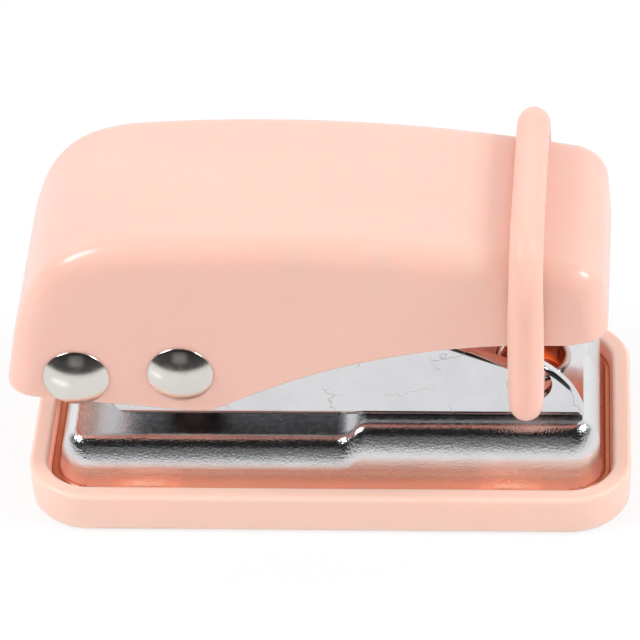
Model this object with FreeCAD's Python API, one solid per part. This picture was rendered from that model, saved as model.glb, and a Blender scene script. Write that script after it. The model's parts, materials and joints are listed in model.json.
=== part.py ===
import FreeCAD, Part
import math
import os

# A mini hole punch. Lengths are millimetres and angles are degrees.
# X runs along the punch towards the free end of the handle, Y across it, Z up.
# The origin is the middle of the tray's underside. The punch is drawn locked shut.

V = FreeCAD.Vector

# Chip tray
tray_length = 60.0
tray_width = 28.6
tray_height = 4.6
tray_wall = 1.7
tray_floor = 1.2
tray_corner_radius = 6.0
tray_foot_round = 0.8
tray_rim_round = 0.45
ledge_height = 2.2
ledge_width = 1.7
snap_count_per_side = 2
snap_pitch = 36.0
snap_length = 5.0
snap_reach = 0.85
snap_thickness = 0.5
snap_clearance = 0.05

# Sheet metal base plate, drawn up into a hollow platform
sheet = 1.1
flange_gap_ends = 0.35
flange_gap_sides = 0.4
plate_offset = 0.3
skirt_gap = 1.7
skirt_corner_radius = 4.2
skirt_lean = 0.35
platform_height = 8.45
shoulder_radius = 1.8
foot_radius = 0.6

# Paper slot and the step that stops the paper
slot_height = 1.6
paper_depth = 15.8
stop_run = 1.7
stop_bend_radius = 1.95

# Channel frame
channel_half_width = 8.4
channel_bend = 1.0
channel_inner_bend = 0.3
channel_rear_inset = 1.7
side_front_from_pivot = 4.0
lip_from_side_front = 0.3
lip_angle = 32.0
lip_length = 2.0
lip_bend_radius = 2.0
lip_side_gap = 0.1
ear_radius = 3.4
ear_root_rise = 2.25
ear_roof_above_drive = 3.9
rear_shoulder_inset = 19.2
rear_slope_inset = 7.4
rear_slope_rise = 6.85
rear_nose_inset = 3.9
rear_nose_rise = 6.55
rear_nose_bulge = 0.6

# Handle pivot and drive rivets
pivot_inset = 5.9
pivot_above_web = 6.25
lever_run = 10.2
lever_rise = 0.5
rivet_radius = 1.5
rivet_fit = 0.05
rivet_head_radius = 3.25
rivet_head_rise = 1.1
rivet_head_edge = 0.22
tail_radius = 2.3
tail_rise = 0.75
tail_bore_radius = 0.95
tail_bore_depth = 2.2
tail_roll = 0.33
washer_radius = 3.1
washer_thickness = 0.5
spacer_wall = 0.75
spacer_end_gap = 0.05

# Stroke of the handle between the lock and the top of its travel
handle_opening = 9.25
press_allowance = 1.2
slot_play = 0.12

# Punch pin, its return spring and the spring's washer
punch_radius = 3.0
punch_fit = 0.05
die_fit = 0.05
punch_top_rise = 3.0
punch_chamfer = 0.4
punch_hollow = 0.6
punch_edge_land = 0.2
spring_wire = 0.6
spring_quarter_turns = 13
spring_inner_gap = 0.35
spring_end_gap = 0.02
washer_drop = 0.1
spring_washer_thickness = 0.5
spring_washer_overhang = 0.5

# Eyelets that join the channel to the base plate
eyelet_rear_inset = 5.0
eyelet_front_from_stop = 7.1
eyelet_bore_radius = 3.05
eyelet_wall = 0.45
eyelet_flange_overhang = 0.28
eyelet_flange_thickness = 0.45
eyelet_roll = 0.3
eyelet_fit = 0.05

# Handle shell
handle_side_gap = 0.9
handle_wall = 2.0
crest_run = 17.1
crest_rise = 15.95
crown_radius = 158.0
handle_rear_reach = 6.88
handle_rear_lean = 0.229
handle_rear_radius = 12.3
handle_front_reach = 2.5
handle_front_lean = 0.11
handle_front_radius = 3.0
handle_edge_radius = 2.5
handle_corner_radius = 0.9
lobe_run = 11.7
lobe_drop = 4.28
lobe_radius = 5.6
lobe_line_slope = -0.106
arch_crest_inset = 4.8
arch_crest_rise = 4.1
rib_thickness = 1.2
rib_from_crest = 5.0
rib_pitch = 8.0
rib_count = 3
rib_depth = 3.2
boss_overhang = 2.1
boss_clearance = 0.1

# Lock bail, a moulded loop that swings over the handle's free end
bail_inset = 5.25
bail_above_web = 3.35
bail_width = 3.5
bail_thickness = 2.3
bail_side_gap = 0.8
bail_top_gap = 1.8
bail_top_bend = 4.8
bail_foot_bend = 2.2
bail_pin_reach = 0.7
bail_hole_play = 0.45
bail_yaw = 1.5

# Heights worked out from the sizes above
ledge_top = ledge_height
flange_top = ledge_top + sheet
web_bottom = platform_height + slot_height
web_top = web_bottom + sheet
pivot_z = web_top + pivot_above_web
drive_z = pivot_z + lever_rise
handle_crest_z = pivot_z + crest_rise
lobe_z = pivot_z - lobe_drop
arch_crest_z = pivot_z + arch_crest_rise
bail_z = web_top + bail_above_web

# Places along the punch
tray_inner_half_length = tray_length / 2 - tray_wall
skirt_half_length = tray_inner_half_length - skirt_gap
pivot_x = pivot_inset - tray_length / 2
drive_x = pivot_x + lever_run
stop_x = drive_x + paper_depth
channel_front_x = pivot_x + side_front_from_pivot
web_front_x = channel_front_x + lip_from_side_front
channel_rear_x = plate_offset + skirt_half_length - channel_rear_inset
eyelet_rear_x = channel_rear_x - eyelet_rear_inset
eyelet_front_x = stop_x + eyelet_front_from_stop
handle_crest_x = pivot_x + crest_run
handle_rear_x = pivot_x - handle_rear_reach
handle_front_x = channel_rear_x + handle_front_reach
lobe_x = pivot_x + lobe_run
arch_crest_x = channel_rear_x - arch_crest_inset
bail_x = channel_rear_x - bail_inset

# Places across the punch
tray_inner_half_width = tray_width / 2 - tray_wall
tray_inner_radius = tray_corner_radius - tray_wall
skirt_half_width = tray_inner_half_width - skirt_gap
channel_inner_half_width = channel_half_width - sheet
handle_inner_half_width = channel_half_width + handle_side_gap
handle_half_width = handle_inner_half_width + handle_wall
eyelet_barrel_radius = eyelet_bore_radius + eyelet_wall
spacer_radius = rivet_radius + rivet_fit + spacer_wall
boss_radius = rivet_radius + boss_overhang
bail_flat = bail_thickness - bail_width / 2
bail_leg_y = handle_half_width + bail_side_gap + bail_flat
bail_pin_end_y = channel_inner_half_width - bail_pin_reach
bail_hole_radius = bail_width / 2 + bail_hole_play

drive_reach = math.hypot(lever_run, lever_rise)
drive_angle = math.degrees(math.atan2(lever_rise, lever_run))


def drive_point(angle):
    """Centre of the drive rivet with the handle opened by this angle."""
    turn = math.radians(drive_angle + angle)
    return V(pivot_x + drive_reach * math.cos(turn), 0, pivot_z + drive_reach * math.sin(turn))


punch_travel = drive_point(handle_opening).z - drive_z
punch_tip_z = web_bottom - punch_travel


def polar(angle, radius=1.0):
    """Vector in the XZ plane, its angle measured from +X towards +Z."""
    turn = math.radians(angle)
    return V(radius * math.cos(turn), 0, radius * math.sin(turn))


def box(x0, x1, y0, y1, z0, z1):
    return Part.makeBox(x1 - x0, y1 - y0, z1 - z0, V(x0, y0, z0))


def cylinder(radius, start, end):
    along = end - start
    return Part.makeCylinder(radius, along.Length, start, along)


def across(x, z, radius, half_length):
    """Cylinder through the punch along Y, centred on the XZ plane."""
    return cylinder(radius, V(x, -half_length, z), V(x, half_length, z))


def arc(centre, radius, start, end):
    """Arc in the XZ plane from one angle to another."""
    points = [centre + polar(a, radius) for a in (start, (start + end) / 2, end)]
    return Part.Arc(*points).toShape()


def segment(start, end):
    return Part.LineSegment(start, end).toShape()


def extrude_across(edges, half_width):
    """Closed outline in the XZ plane made into a solid that is centred on Y = 0."""
    wire = Part.Wire(Part.__sortEdges__(edges))
    face = Part.Face(wire)
    face.translate(V(0, -half_width, 0))
    return face.extrude(V(0, 2 * half_width, 0))


def rounded_outline(half_length, half_width, radius, z, centre_x=0.0):
    """Closed wire of a rectangle with round corners, lying at height z."""
    edges = []
    signs = [(1, 1), (-1, 1), (-1, -1), (1, -1)]
    centres = [V(centre_x + sx * (half_length - radius), sy * (half_width - radius), z) for sx, sy in signs]
    for number, centre in enumerate(centres):
        turns = [math.radians(90 * number + a) for a in (0, 45, 90)]
        points = [centre + V(radius * math.cos(t), radius * math.sin(t), 0) for t in turns]
        edges.append(Part.Arc(*points).toShape())
    for number in range(4):
        start = edges[number].valueAt(edges[number].LastParameter)
        following = edges[(number + 1) % 4]
        edges.append(segment(start, following.valueAt(following.FirstParameter)))
    return Part.Wire(Part.__sortEdges__(edges))


def rounded_block(half_length, half_width, radius, z0, z1, centre_x=0.0):
    face = Part.Face(rounded_outline(half_length, half_width, radius, z0, centre_x))
    return face.extrude(V(0, 0, z1 - z0))


def edges_where(shape, test):
    """Edges whose centre and bounding box pass the test."""
    return [edge for edge in shape.Edges if test(edge.CenterOfMass, edge.BoundBox)]


def base_tray():
    half_length = tray_length / 2
    half_width = tray_width / 2
    body = rounded_block(half_length, half_width, tray_corner_radius, 0, tray_height)
    foot = edges_where(body, lambda c, b: b.ZMax < 0.01)
    body = body.makeFillet(tray_foot_round, foot)
    well = rounded_block(tray_inner_half_length, tray_inner_half_width, tray_inner_radius,
                         ledge_top, tray_height + 1)
    pocket = rounded_block(tray_inner_half_length - ledge_width, tray_inner_half_width - ledge_width,
                           tray_inner_radius - ledge_width / 2, tray_floor, tray_height)
    body = body.cut(well.fuse(pocket)).removeSplitter()
    rim = edges_where(body, lambda c, b: b.ZMin > tray_height - 0.01)
    body = body.makeFillet(tray_rim_round, rim)
    snap_bottom = flange_top + snap_clearance
    for number in range(snap_count_per_side):
        x = (number - (snap_count_per_side - 1) / 2) * snap_pitch
        for side in (-1, 1):
            wall = side * (tray_inner_half_width + tray_wall / 2)
            tip = side * (tray_inner_half_width - snap_reach)
            snap = box(x - snap_length / 2, x + snap_length / 2, min(wall, tip), max(wall, tip),
                       snap_bottom, snap_bottom + snap_thickness)
            body = body.fuse(snap)
    return body.removeSplitter()


def roof_edges(inset):
    """Side outline of the platform's roof: low for the paper, a step, then high for the channel."""
    low = platform_height - inset
    high = web_bottom - inset
    slope = math.degrees(math.atan2(slot_height, stop_run))
    half_turn = math.tan(math.radians(slope) / 2)
    valley = stop_bend_radius + inset
    crest = stop_bend_radius - inset
    foot = V(stop_x + inset * half_turn, 0, low)
    crown = foot + V(stop_run, 0, slot_height)
    step = polar(slope)
    points = [foot - V(valley * half_turn, 0, 0), foot + step * (valley * half_turn),
              crown - step * (crest * half_turn), crown + V(crest * half_turn, 0, 0)]
    lower = arc(points[0] + V(0, 0, valley), valley, -90, slope - 90)
    upper = arc(points[3] - V(0, 0, crest), crest, slope + 90, 90)
    left = V(-tray_length, 0, low)
    right = V(tray_length, 0, high)
    floor = [V(tray_length, 0, -1), V(-tray_length, 0, -1)]
    return [segment(left, points[0]), lower, segment(points[1], points[2]), upper, segment(points[3], right),
            segment(right, floor[0]), segment(*floor), segment(floor[1], left)]


def platform(inset, bottom):
    """Leaning block under the platform's roof, drawn in by inset on every side."""
    slope = skirt_lean / (web_bottom - ledge_top)
    top = web_bottom + shoulder_radius
    half_length = skirt_half_length - inset
    half_width = skirt_half_width - inset
    foot = slope * (web_bottom - bottom)
    head = slope * (web_bottom - top)
    block = Part.makeWedge(-half_length - foot, bottom, -half_width - foot, -half_width - head, -half_length - head,
                           half_length + foot, top, half_width + foot, half_width + head, half_length + head)
    block.rotate(V(0, 0, 0), V(1, 0, 0), 90)
    block.translate(V(plate_offset, 0, 0))
    corners = edges_where(block, lambda c, b: abs(c.y) > half_width - 1 and b.ZMax - b.ZMin > 1)
    block = block.makeFillet(skirt_corner_radius - inset, corners)
    block = block.common(extrude_across(roof_edges(inset), tray_width)).Solids[0]
    roof = platform_height - inset - 0.01
    rim = edges_where(block, lambda c, b: b.ZMin > roof and (abs(c.y) > 1 or abs(c.x) > half_length - 2))
    return block.makeFillet(shoulder_radius - inset, rim)


def base_plate():
    flange_half_length = tray_inner_half_length - flange_gap_ends
    flange_half_width = tray_inner_half_width - flange_gap_sides
    flange_radius = tray_inner_radius - flange_gap_sides
    flange = rounded_block(flange_half_length, flange_half_width, flange_radius, ledge_top, flange_top)
    body = platform(0, ledge_top).fuse(flange).removeSplitter()

    def at_foot(centre, bounds):
        flat = bounds.ZMax - bounds.ZMin < 0.01 and abs(centre.z - flange_top) < 0.01
        reach_x = max(abs(bounds.XMin), abs(bounds.XMax))
        reach_y = max(abs(bounds.YMin), abs(bounds.YMax))
        return flat and reach_x < flange_half_length - 0.1 and reach_y < flange_half_width - 0.1

    body = body.makeFillet(foot_radius, edges_where(body, at_foot))
    body = body.cut(platform(sheet, ledge_top - 1))
    die = cylinder(punch_radius + die_fit, V(drive_x, 0, 0), V(drive_x, 0, web_top))
    body = body.cut(die)
    for x in (eyelet_front_x, eyelet_rear_x):
        hole = cylinder(eyelet_barrel_radius + eyelet_fit, V(x, 0, 0), V(x, 0, web_top))
        body = body.cut(hole)
    return body


def lip():
    """Front end of the channel's web, curled up to lead the paper in."""
    start = V(web_front_x, 0, web_bottom)
    upper_radius = lip_bend_radius
    lower_radius = lip_bend_radius + sheet
    centre = V(web_front_x, 0, web_top + upper_radius)
    bend_end = 270 - lip_angle
    along = polar(180 - lip_angle, lip_length)
    lower_end = centre + polar(bend_end, lower_radius)
    upper_end = centre + polar(bend_end, upper_radius)
    edges = [arc(centre, lower_radius, 270, bend_end), segment(lower_end, lower_end + along),
             segment(lower_end + along, upper_end + along), segment(upper_end + along, upper_end),
             arc(centre, upper_radius, bend_end, 270), segment(V(web_front_x, 0, web_top), start)]
    return extrude_across(edges, channel_inner_half_width - lip_side_gap)


def ear_outline():
    """Side plate of the channel seen from the side: front edge, ear round the pivot, roof and rear nose."""
    pivot = V(pivot_x, 0, pivot_z)
    front = V(channel_front_x, 0, web_bottom)
    root = V(channel_front_x, 0, web_bottom + ear_root_rise)
    pull = root - pivot
    touch = math.degrees(math.atan2(pull.z, pull.x)) - math.degrees(math.acos(ear_radius / pull.Length))
    ear_top = pivot + V(0, 0, ear_radius)
    roof = drive_z + ear_roof_above_drive
    roof_start = V(drive_x - ear_radius, 0, roof)
    roof_end = V(channel_rear_x - rear_shoulder_inset, 0, roof)
    slope_end = V(channel_rear_x - rear_slope_inset, 0, web_bottom + rear_slope_rise)
    nose_top = V(channel_rear_x - rear_nose_inset, 0, web_bottom + rear_nose_rise)
    nose_low = V(channel_rear_x, 0, web_top)
    rear = V(channel_rear_x, 0, web_bottom)
    chord = nose_low - nose_top
    outward = V(-chord.z, 0, chord.x) * (rear_nose_bulge / chord.Length)
    nose = Part.Arc(nose_top, (nose_top + nose_low) * 0.5 + outward, nose_low).toShape()
    return [segment(front, root), segment(root, pivot + polar(touch, ear_radius)),
            arc(pivot, ear_radius, touch, -270), segment(ear_top, roof_start), segment(roof_start, roof_end),
            segment(roof_end, slope_end), segment(slope_end, nose_top), nose, segment(nose_low, rear),
            segment(rear, front)]


def frame_channel():
    outer = extrude_across(ear_outline(), channel_half_width)
    bends = edges_where(outer, lambda c, b: b.ZMax < web_bottom + 0.01 and b.XMax - b.XMin > 1)
    outer = outer.makeFillet(channel_bend, bends)
    room = box(-tray_length, tray_length, -channel_inner_half_width, channel_inner_half_width,
               web_top, handle_crest_z)
    corners = edges_where(room, lambda c, b: b.ZMax < web_top + 0.01 and b.XMax - b.XMin > 1)
    room = room.makeFillet(channel_inner_bend, corners)
    front_room = box(-tray_length, web_front_x, -channel_inner_half_width, channel_inner_half_width,
                     0, handle_crest_z)
    body = outer.cut(room).cut(front_room).fuse(lip())
    body = body.cut(across(pivot_x, pivot_z, rivet_radius + rivet_fit, tray_width))
    body = body.cut(across(bail_x, bail_z, bail_hole_radius, tray_width))
    body = body.cut(drive_slot(rivet_radius + slot_play, -press_angle(), handle_opening))
    body = body.cut(cylinder(punch_radius + punch_fit, V(drive_x, 0, 0), V(drive_x, 0, web_top + 1)))
    for x in (eyelet_front_x, eyelet_rear_x):
        hole = cylinder(eyelet_barrel_radius + eyelet_fit, V(x, 0, 0), V(x, 0, web_top + 1))
        body = body.cut(hole)
    return body.removeSplitter()


def press_angle():
    """Handle angle below the locked position that the slots leave free."""
    return math.degrees(press_allowance / drive_reach)


def drive_slot(radius, low_angle, high_angle):
    """Curved slot through the ears that the drive rivet's shank sweeps."""
    ends = [drive_point(low_angle), drive_point(high_angle)]
    middle = drive_point((low_angle + high_angle) / 2)
    start = drive_angle + low_angle
    end = drive_angle + high_angle
    pivot = V(pivot_x, 0, pivot_z)
    edges = [arc(pivot, drive_reach + radius, start, end), arc(pivot, drive_reach - radius, start, end)]
    for centre, turn, side in ((ends[0], start, -90), (ends[1], end, 90)):
        points = [centre + polar(turn, radius), centre + polar(turn + side, radius), centre + polar(turn + 180, radius)]
        edges.append(Part.Arc(*points).toShape())
    return extrude_across(edges, tray_width)


def eyelet(x):
    """Hollow rivet, turned over on top of the web and under the base plate."""
    roof_bottom = web_bottom - sheet
    z0 = roof_bottom - eyelet_flange_thickness
    z1 = web_top + eyelet_flange_thickness
    body = cylinder(eyelet_barrel_radius, V(x, 0, z0), V(x, 0, z1))
    for low in (z0, web_top):
        ring = cylinder(eyelet_barrel_radius + eyelet_flange_overhang, V(x, 0, low),
                        V(x, 0, low + eyelet_flange_thickness))
        body = body.fuse(ring)
    body = body.removeSplitter()
    bore = cylinder(eyelet_bore_radius, V(x, 0, z0 - 1), V(x, 0, z1 + 1))
    body = body.cut(bore)
    rims = edges_where(body, lambda c, b: b.ZMax - b.ZMin < 0.01 and (b.ZMax > z1 - 0.01 or b.ZMin < z0 + 0.01))
    return body.makeFillet(eyelet_roll, rims)


def punch_pin():
    top = drive_z + punch_top_rise
    pin = cylinder(punch_radius, V(drive_x, 0, punch_tip_z), V(drive_x, 0, top))
    upper = edges_where(pin, lambda c, b: b.ZMin > top - 0.01)
    pin = pin.makeChamfer(punch_chamfer, upper)
    land = punch_radius - punch_edge_land
    ridge = [V(drive_x - land, 0, punch_tip_z), V(drive_x, 0, punch_tip_z + punch_hollow),
             V(drive_x + land, 0, punch_tip_z), V(drive_x, 0, punch_tip_z - 1)]
    hollow = extrude_across([segment(ridge[n], ridge[(n + 1) % 4]) for n in range(4)], punch_radius + 1)
    pin = pin.cut(hollow)
    sweep = drive_x - drive_point(handle_opening).x
    half_height = rivet_radius + slot_play
    left = drive_x - sweep
    right = drive_x + sweep
    slot = across(left, drive_z, half_height, punch_radius + 1)
    slot = slot.fuse(across(right, drive_z, half_height, punch_radius + 1))
    slot = slot.fuse(box(left, right, -punch_radius - 1, punch_radius + 1, drive_z - half_height, drive_z + half_height))
    return pin.cut(slot.removeSplitter())


spring_top = drive_z - rivet_radius - washer_drop - spring_washer_thickness
spring_coil_radius = punch_radius + spring_inner_gap + spring_wire / 2


def spring_point(quarters):
    """Point and heading on the spring's middle line, a number of quarter turns up from its foot."""
    climb = (spring_top - web_top - spring_wire - 2 * spring_end_gap) / spring_quarter_turns
    turn = quarters * math.pi / 2
    foot = web_top + spring_end_gap + spring_wire / 2
    point = V(drive_x + spring_coil_radius * math.cos(turn), spring_coil_radius * math.sin(turn),
              foot + climb * quarters)
    heading = V(-spring_coil_radius * math.sin(turn), spring_coil_radius * math.cos(turn), climb * 2 / math.pi)
    return point, heading.normalize()


def half_of_biarc(start, apex, end):
    """Arc that leaves start towards apex and reaches end from it, both at the same distance."""
    middle = (start + end) * 0.5
    height = (apex - middle).Length
    half_chord = (start - middle).Length
    sagitta = half_chord * math.tan(math.atan2(height, half_chord) / 2)
    return Part.Arc(start, middle + (apex - middle) * (sagitta / height), end).toShape()


def biarc(start, start_heading, end, end_heading):
    """Two arcs that join two points and keep both headings."""
    chord = end - start
    headings = start_heading + end_heading
    turn = 2 * (1 - start_heading.dot(end_heading))
    along = chord.dot(headings)
    reach = (math.sqrt(along ** 2 + turn * chord.dot(chord)) - along) / turn
    first = start + start_heading * reach
    second = end - end_heading * reach
    joint = (first + second) * 0.5
    return [half_of_biarc(start, first, joint), half_of_biarc(joint, second, end)]


def return_spring():
    """Round wire wound round the pin in quarter turns, between the web and the washer."""
    edges = []
    for quarter in range(spring_quarter_turns):
        edges += biarc(*spring_point(quarter), *spring_point(quarter + 1))
    start, heading = spring_point(0)
    section = Part.Wire(Part.makeCircle(spring_wire / 2, start, heading))
    steps = [spring_point(n / 4)[0] for n in range(4 * spring_quarter_turns + 1)]
    least = min((p - q).Length for n, p in enumerate(steps) for q in steps[n + 8:])
    print("spring gap to itself", round(least - spring_wire, 2))
    return Part.Wire(edges).makePipeShell([section], True, False)


def spring_washer():
    radius = spring_coil_radius + spring_wire / 2 + spring_washer_overhang
    bottom = V(drive_x, 0, spring_top)
    top = V(drive_x, 0, spring_top + spring_washer_thickness)
    body = cylinder(radius, bottom, top)
    return body.cut(cylinder(punch_radius + punch_fit, bottom - V(0, 0, 1), top + V(0, 0, 1)))


def rivet(x, z):
    """Domed head on the near cheek, shank through to a tail that is rolled over on the far side."""
    face = -handle_half_width
    tail_face = handle_half_width + washer_thickness
    base = rivet_head_radius
    rise = rivet_head_rise - rivet_head_edge
    sphere = (base * base + rise * rise) / (2 * rise)
    dome_start = face - rivet_head_edge
    ball = Part.makeSphere(sphere, V(x, dome_start - rise + sphere, z))
    cap = ball.common(cylinder(base, V(x, dome_start - rise - 1, z), V(x, dome_start, z)))
    rim = cylinder(base, V(x, dome_start, z), V(x, face, z))
    shank = cylinder(rivet_radius, V(x, face, z), V(x, tail_face + tail_rise, z))
    tail = cylinder(tail_radius, V(x, tail_face, z), V(x, tail_face + tail_rise, z))
    body = cap.fuse([rim, shank, tail]).removeSplitter()
    end = tail_face + tail_rise
    bore = cylinder(tail_bore_radius, V(x, end - tail_bore_depth, z), V(x, end + 1, z))
    body = body.cut(bore)
    rims = edges_where(body, lambda c, b: b.YMin > end - 0.01)
    return body.makeFillet(tail_roll, rims)


def tail_washers():
    solids = []
    for x, z in ((pivot_x, pivot_z), (drive_x, drive_z)):
        inner = V(x, handle_half_width, z)
        outer = V(x, handle_half_width + washer_thickness, z)
        ring = cylinder(washer_radius, inner, outer)
        solids.append(ring.cut(cylinder(rivet_radius, inner - V(0, 1, 0), outer + V(0, 1, 0))))
    return Part.makeCompound(solids)


def pivot_spacer():
    half = channel_inner_half_width - spacer_end_gap
    tube = across(pivot_x, pivot_z, spacer_radius, half)
    return tube.cut(across(pivot_x, pivot_z, rivet_radius + rivet_fit, half + 1))


def handle_end_line(x, z, lean, inset):
    """Two points on a leaning end line through (x, z), moved in by inset: one low, one high."""
    tilt = math.hypot(1, lean)
    x = x + inset * tilt
    low = V(x - lean * z, 0, 0)
    high = V(x + lean * (handle_crest_z - z), 0, handle_crest_z)
    return low, high


def crown_height(x, inset):
    """Height of the handle's top above a place along it."""
    radius = crown_radius - inset
    centre_z = handle_crest_z - crown_radius
    return centre_z + math.sqrt(radius ** 2 - (x - handle_crest_x) ** 2)


def meet_crown(low, high, inset):
    """Where a leaning end line runs into the crown, found by halving."""
    bottom = 0.0
    top = 2.0
    for step in range(60):
        middle = (bottom + top) / 2
        point = low + (high - low) * middle
        if point.z < crown_height(point.x, inset):
            bottom = middle
        else:
            top = middle
    return low + (high - low) * bottom


def handle_block(inset):
    """The handle's outer form as a solid block, every face moved in by inset."""
    rear_low, rear_high = handle_end_line(handle_rear_x, pivot_z, handle_rear_lean, inset)
    front_low, front_high = handle_end_line(handle_front_x, arch_crest_z, -handle_front_lean, -inset)
    rear_top = meet_crown(rear_low, rear_high, inset)
    front_top = meet_crown(front_low, front_high, inset)
    crest = V(handle_crest_x, 0, crown_height(handle_crest_x, inset))
    crown = Part.Arc(rear_top, crest, front_top).toShape()
    edges = [segment(rear_low, rear_top), crown, segment(front_top, front_low), segment(front_low, rear_low)]
    block = extrude_across(edges, handle_half_width - inset)
    for corner, radius in ((rear_top, handle_rear_radius), (front_top, handle_front_radius)):
        line = edges_where(block, lambda c, b: abs(c.x - corner.x) < 0.05 and abs(c.z - corner.z) < 0.05
                           and b.YMax - b.YMin > handle_half_width)
        block = block.makeFillet(max(radius - inset, 0.4), line)
    outline = edges_where(block, lambda c, b: abs(c.y) > handle_half_width - inset - 0.01 and b.ZMax > 1)
    return block.makeFillet(max(handle_edge_radius - inset, 0.3), outline)


def cheek_region():
    """Everything above the handle's lower edge: a lobe round the rivets, then an arch to the free end."""
    lobe_centre = V(lobe_x, 0, lobe_z + lobe_radius)
    drop = lobe_centre.z - arch_crest_z
    run = arch_crest_x - lobe_x
    arch_radius = (run ** 2 + drop ** 2 - lobe_radius ** 2) / (2 * (lobe_radius - drop))
    arch_centre = V(arch_crest_x, 0, arch_crest_z - arch_radius)
    between = math.degrees(math.atan2(lobe_centre.z - arch_centre.z, lobe_centre.x - arch_centre.x))
    line_turn = math.degrees(math.atan(lobe_line_slope))
    line_start = lobe_centre + polar(270 + line_turn, lobe_radius)
    rear_x = handle_rear_x - 2 * handle_wall
    rear = V(rear_x, 0, line_start.z + lobe_line_slope * (rear_x - line_start.x))
    crest = V(arch_crest_x, 0, arch_crest_z)
    front = V(tray_length / 2 + handle_wall, 0, arch_crest_z)
    ceiling = handle_crest_z + handle_wall
    edges = [segment(rear, line_start), arc(lobe_centre, lobe_radius, line_turn - 90, between - 180),
             arc(arch_centre, arch_radius, between, 90), segment(crest, front),
             segment(front, V(front.x, 0, ceiling)), segment(V(front.x, 0, ceiling), V(rear_x, 0, ceiling)),
             segment(V(rear_x, 0, ceiling), rear)]
    return extrude_across(edges, handle_half_width + 1)


def handle_shell():
    outer = handle_block(0).common(cheek_region())
    corners = edges_where(outer, lambda c, b: abs(c.y) < 0.01 and b.YMax - b.YMin > handle_half_width
                          and c.z < arch_crest_z + 1 and (c.x < pivot_x - ear_radius or c.x > arch_crest_x + 2))
    outer = outer.makeFillet(handle_corner_radius, corners)
    cavity = handle_block(handle_wall)
    shell = outer.cut(cavity)
    for number in range(rib_count):
        x = handle_crest_x + rib_from_crest + number * rib_pitch
        side = handle_inner_half_width + handle_wall / 2
        top = crown_height(x, handle_wall / 2)
        rib = box(x - rib_thickness / 2, x + rib_thickness / 2, -side, side,
                  crown_height(x, handle_wall) - rib_depth, top)
        shell = shell.fuse(rib)
    boss_face = channel_half_width + boss_clearance
    for x, z in ((pivot_x, pivot_z), (drive_x, drive_z)):
        for side in (-1, 1):
            boss = cylinder(boss_radius, V(x, side * boss_face, z),
                            V(x, side * (handle_inner_half_width + handle_wall / 2), z))
            shell = shell.fuse(boss)
    for x, z in ((pivot_x, pivot_z), (drive_x, drive_z)):
        shell = shell.cut(across(x, z, rivet_radius, handle_half_width + 1))
    return shell.common(cheek_region()).removeSplitter()


def bail_path():
    """Middle line of the bail from one pin end round to the other, before it is turned askew."""
    foot = bail_foot_bend
    top = bail_top_bend
    leg = bail_leg_y
    crest = crown_height(bail_x, 0) + bail_top_gap + bail_flat
    points = [V(0, -bail_pin_end_y, bail_z), V(0, -leg + foot, bail_z), V(0, -leg, bail_z + foot),
              V(0, -leg, crest - top), V(0, -leg + top, crest), V(0, leg - top, crest),
              V(0, leg, crest - top), V(0, leg, bail_z + foot), V(0, leg - foot, bail_z),
              V(0, bail_pin_end_y, bail_z)]
    half = math.sqrt(0.5)
    bends = [V(0, -leg + foot - foot * half, bail_z + foot - foot * half),
             V(0, -leg + top - top * half, crest - top + top * half),
             V(0, leg - top + top * half, crest - top + top * half),
             V(0, leg - foot + foot * half, bail_z + foot - foot * half)]
    edges = []
    for number in range(len(points) - 1):
        if number % 2 == 0:
            edges.append(segment(points[number], points[number + 1]))
        else:
            middle = bends[number // 2]
            edges.append(Part.Arc(points[number], middle, points[number + 1]).toShape())
    return Part.Wire(edges)


def lock_bail():
    """Half-round bar bent into a loop: round outside, flat on the side that faces the handle."""
    radius = bail_width / 2
    start = V(0, -bail_pin_end_y, bail_z)
    half_chord = math.sqrt(radius ** 2 - bail_flat ** 2)
    left = start + V(-half_chord, 0, bail_flat)
    right = start + V(half_chord, 0, bail_flat)
    low = start + V(0, 0, -radius)
    section = Part.Wire([Part.Arc(left, low, right).toShape(), segment(right, left)])
    body = bail_path().makePipeShell([section], True, False)
    body.rotate(V(0, 0, 0), V(0, 0, 1), -bail_yaw)
    body.translate(V(bail_x, 0, 0))
    return body


PIECES = {
    "base_tray": base_tray,
    "base_plate": base_plate,
    "frame_channel": frame_channel,
    "eyelet_rear": lambda: eyelet(eyelet_rear_x),
    "eyelet_front": lambda: eyelet(eyelet_front_x),
    "pivot_spacer": pivot_spacer,
    "return_spring": return_spring,
    "spring_washer": spring_washer,
    "punch_pin": punch_pin,
    "pivot_rivet": lambda: rivet(pivot_x, pivot_z),
    "drive_rivet": lambda: rivet(drive_x, drive_z),
    "tail_washers": tail_washers,
    "handle_shell": handle_shell,
    "lock_bail": lock_bail,
}


def main():
    os.makedirs("parts", exist_ok=True)
    for name, make in PIECES.items():
        shape = make()
        shape.exportStep("parts/" + name + ".step")
        bounds = shape.BoundBox
        print(name, len(shape.Solids), shape.isValid(), round(shape.Volume, 1),
              [round(v, 2) for v in (bounds.XMin, bounds.XMax, bounds.YMin, bounds.YMax, bounds.ZMin, bounds.ZMax)])


main()
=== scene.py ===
import bmesh
import bpy
import json
from math import acos, asin, atan, atan2, cos, degrees, pi, radians, sin, sqrt, tan
from mathutils import Matrix, Vector


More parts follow.
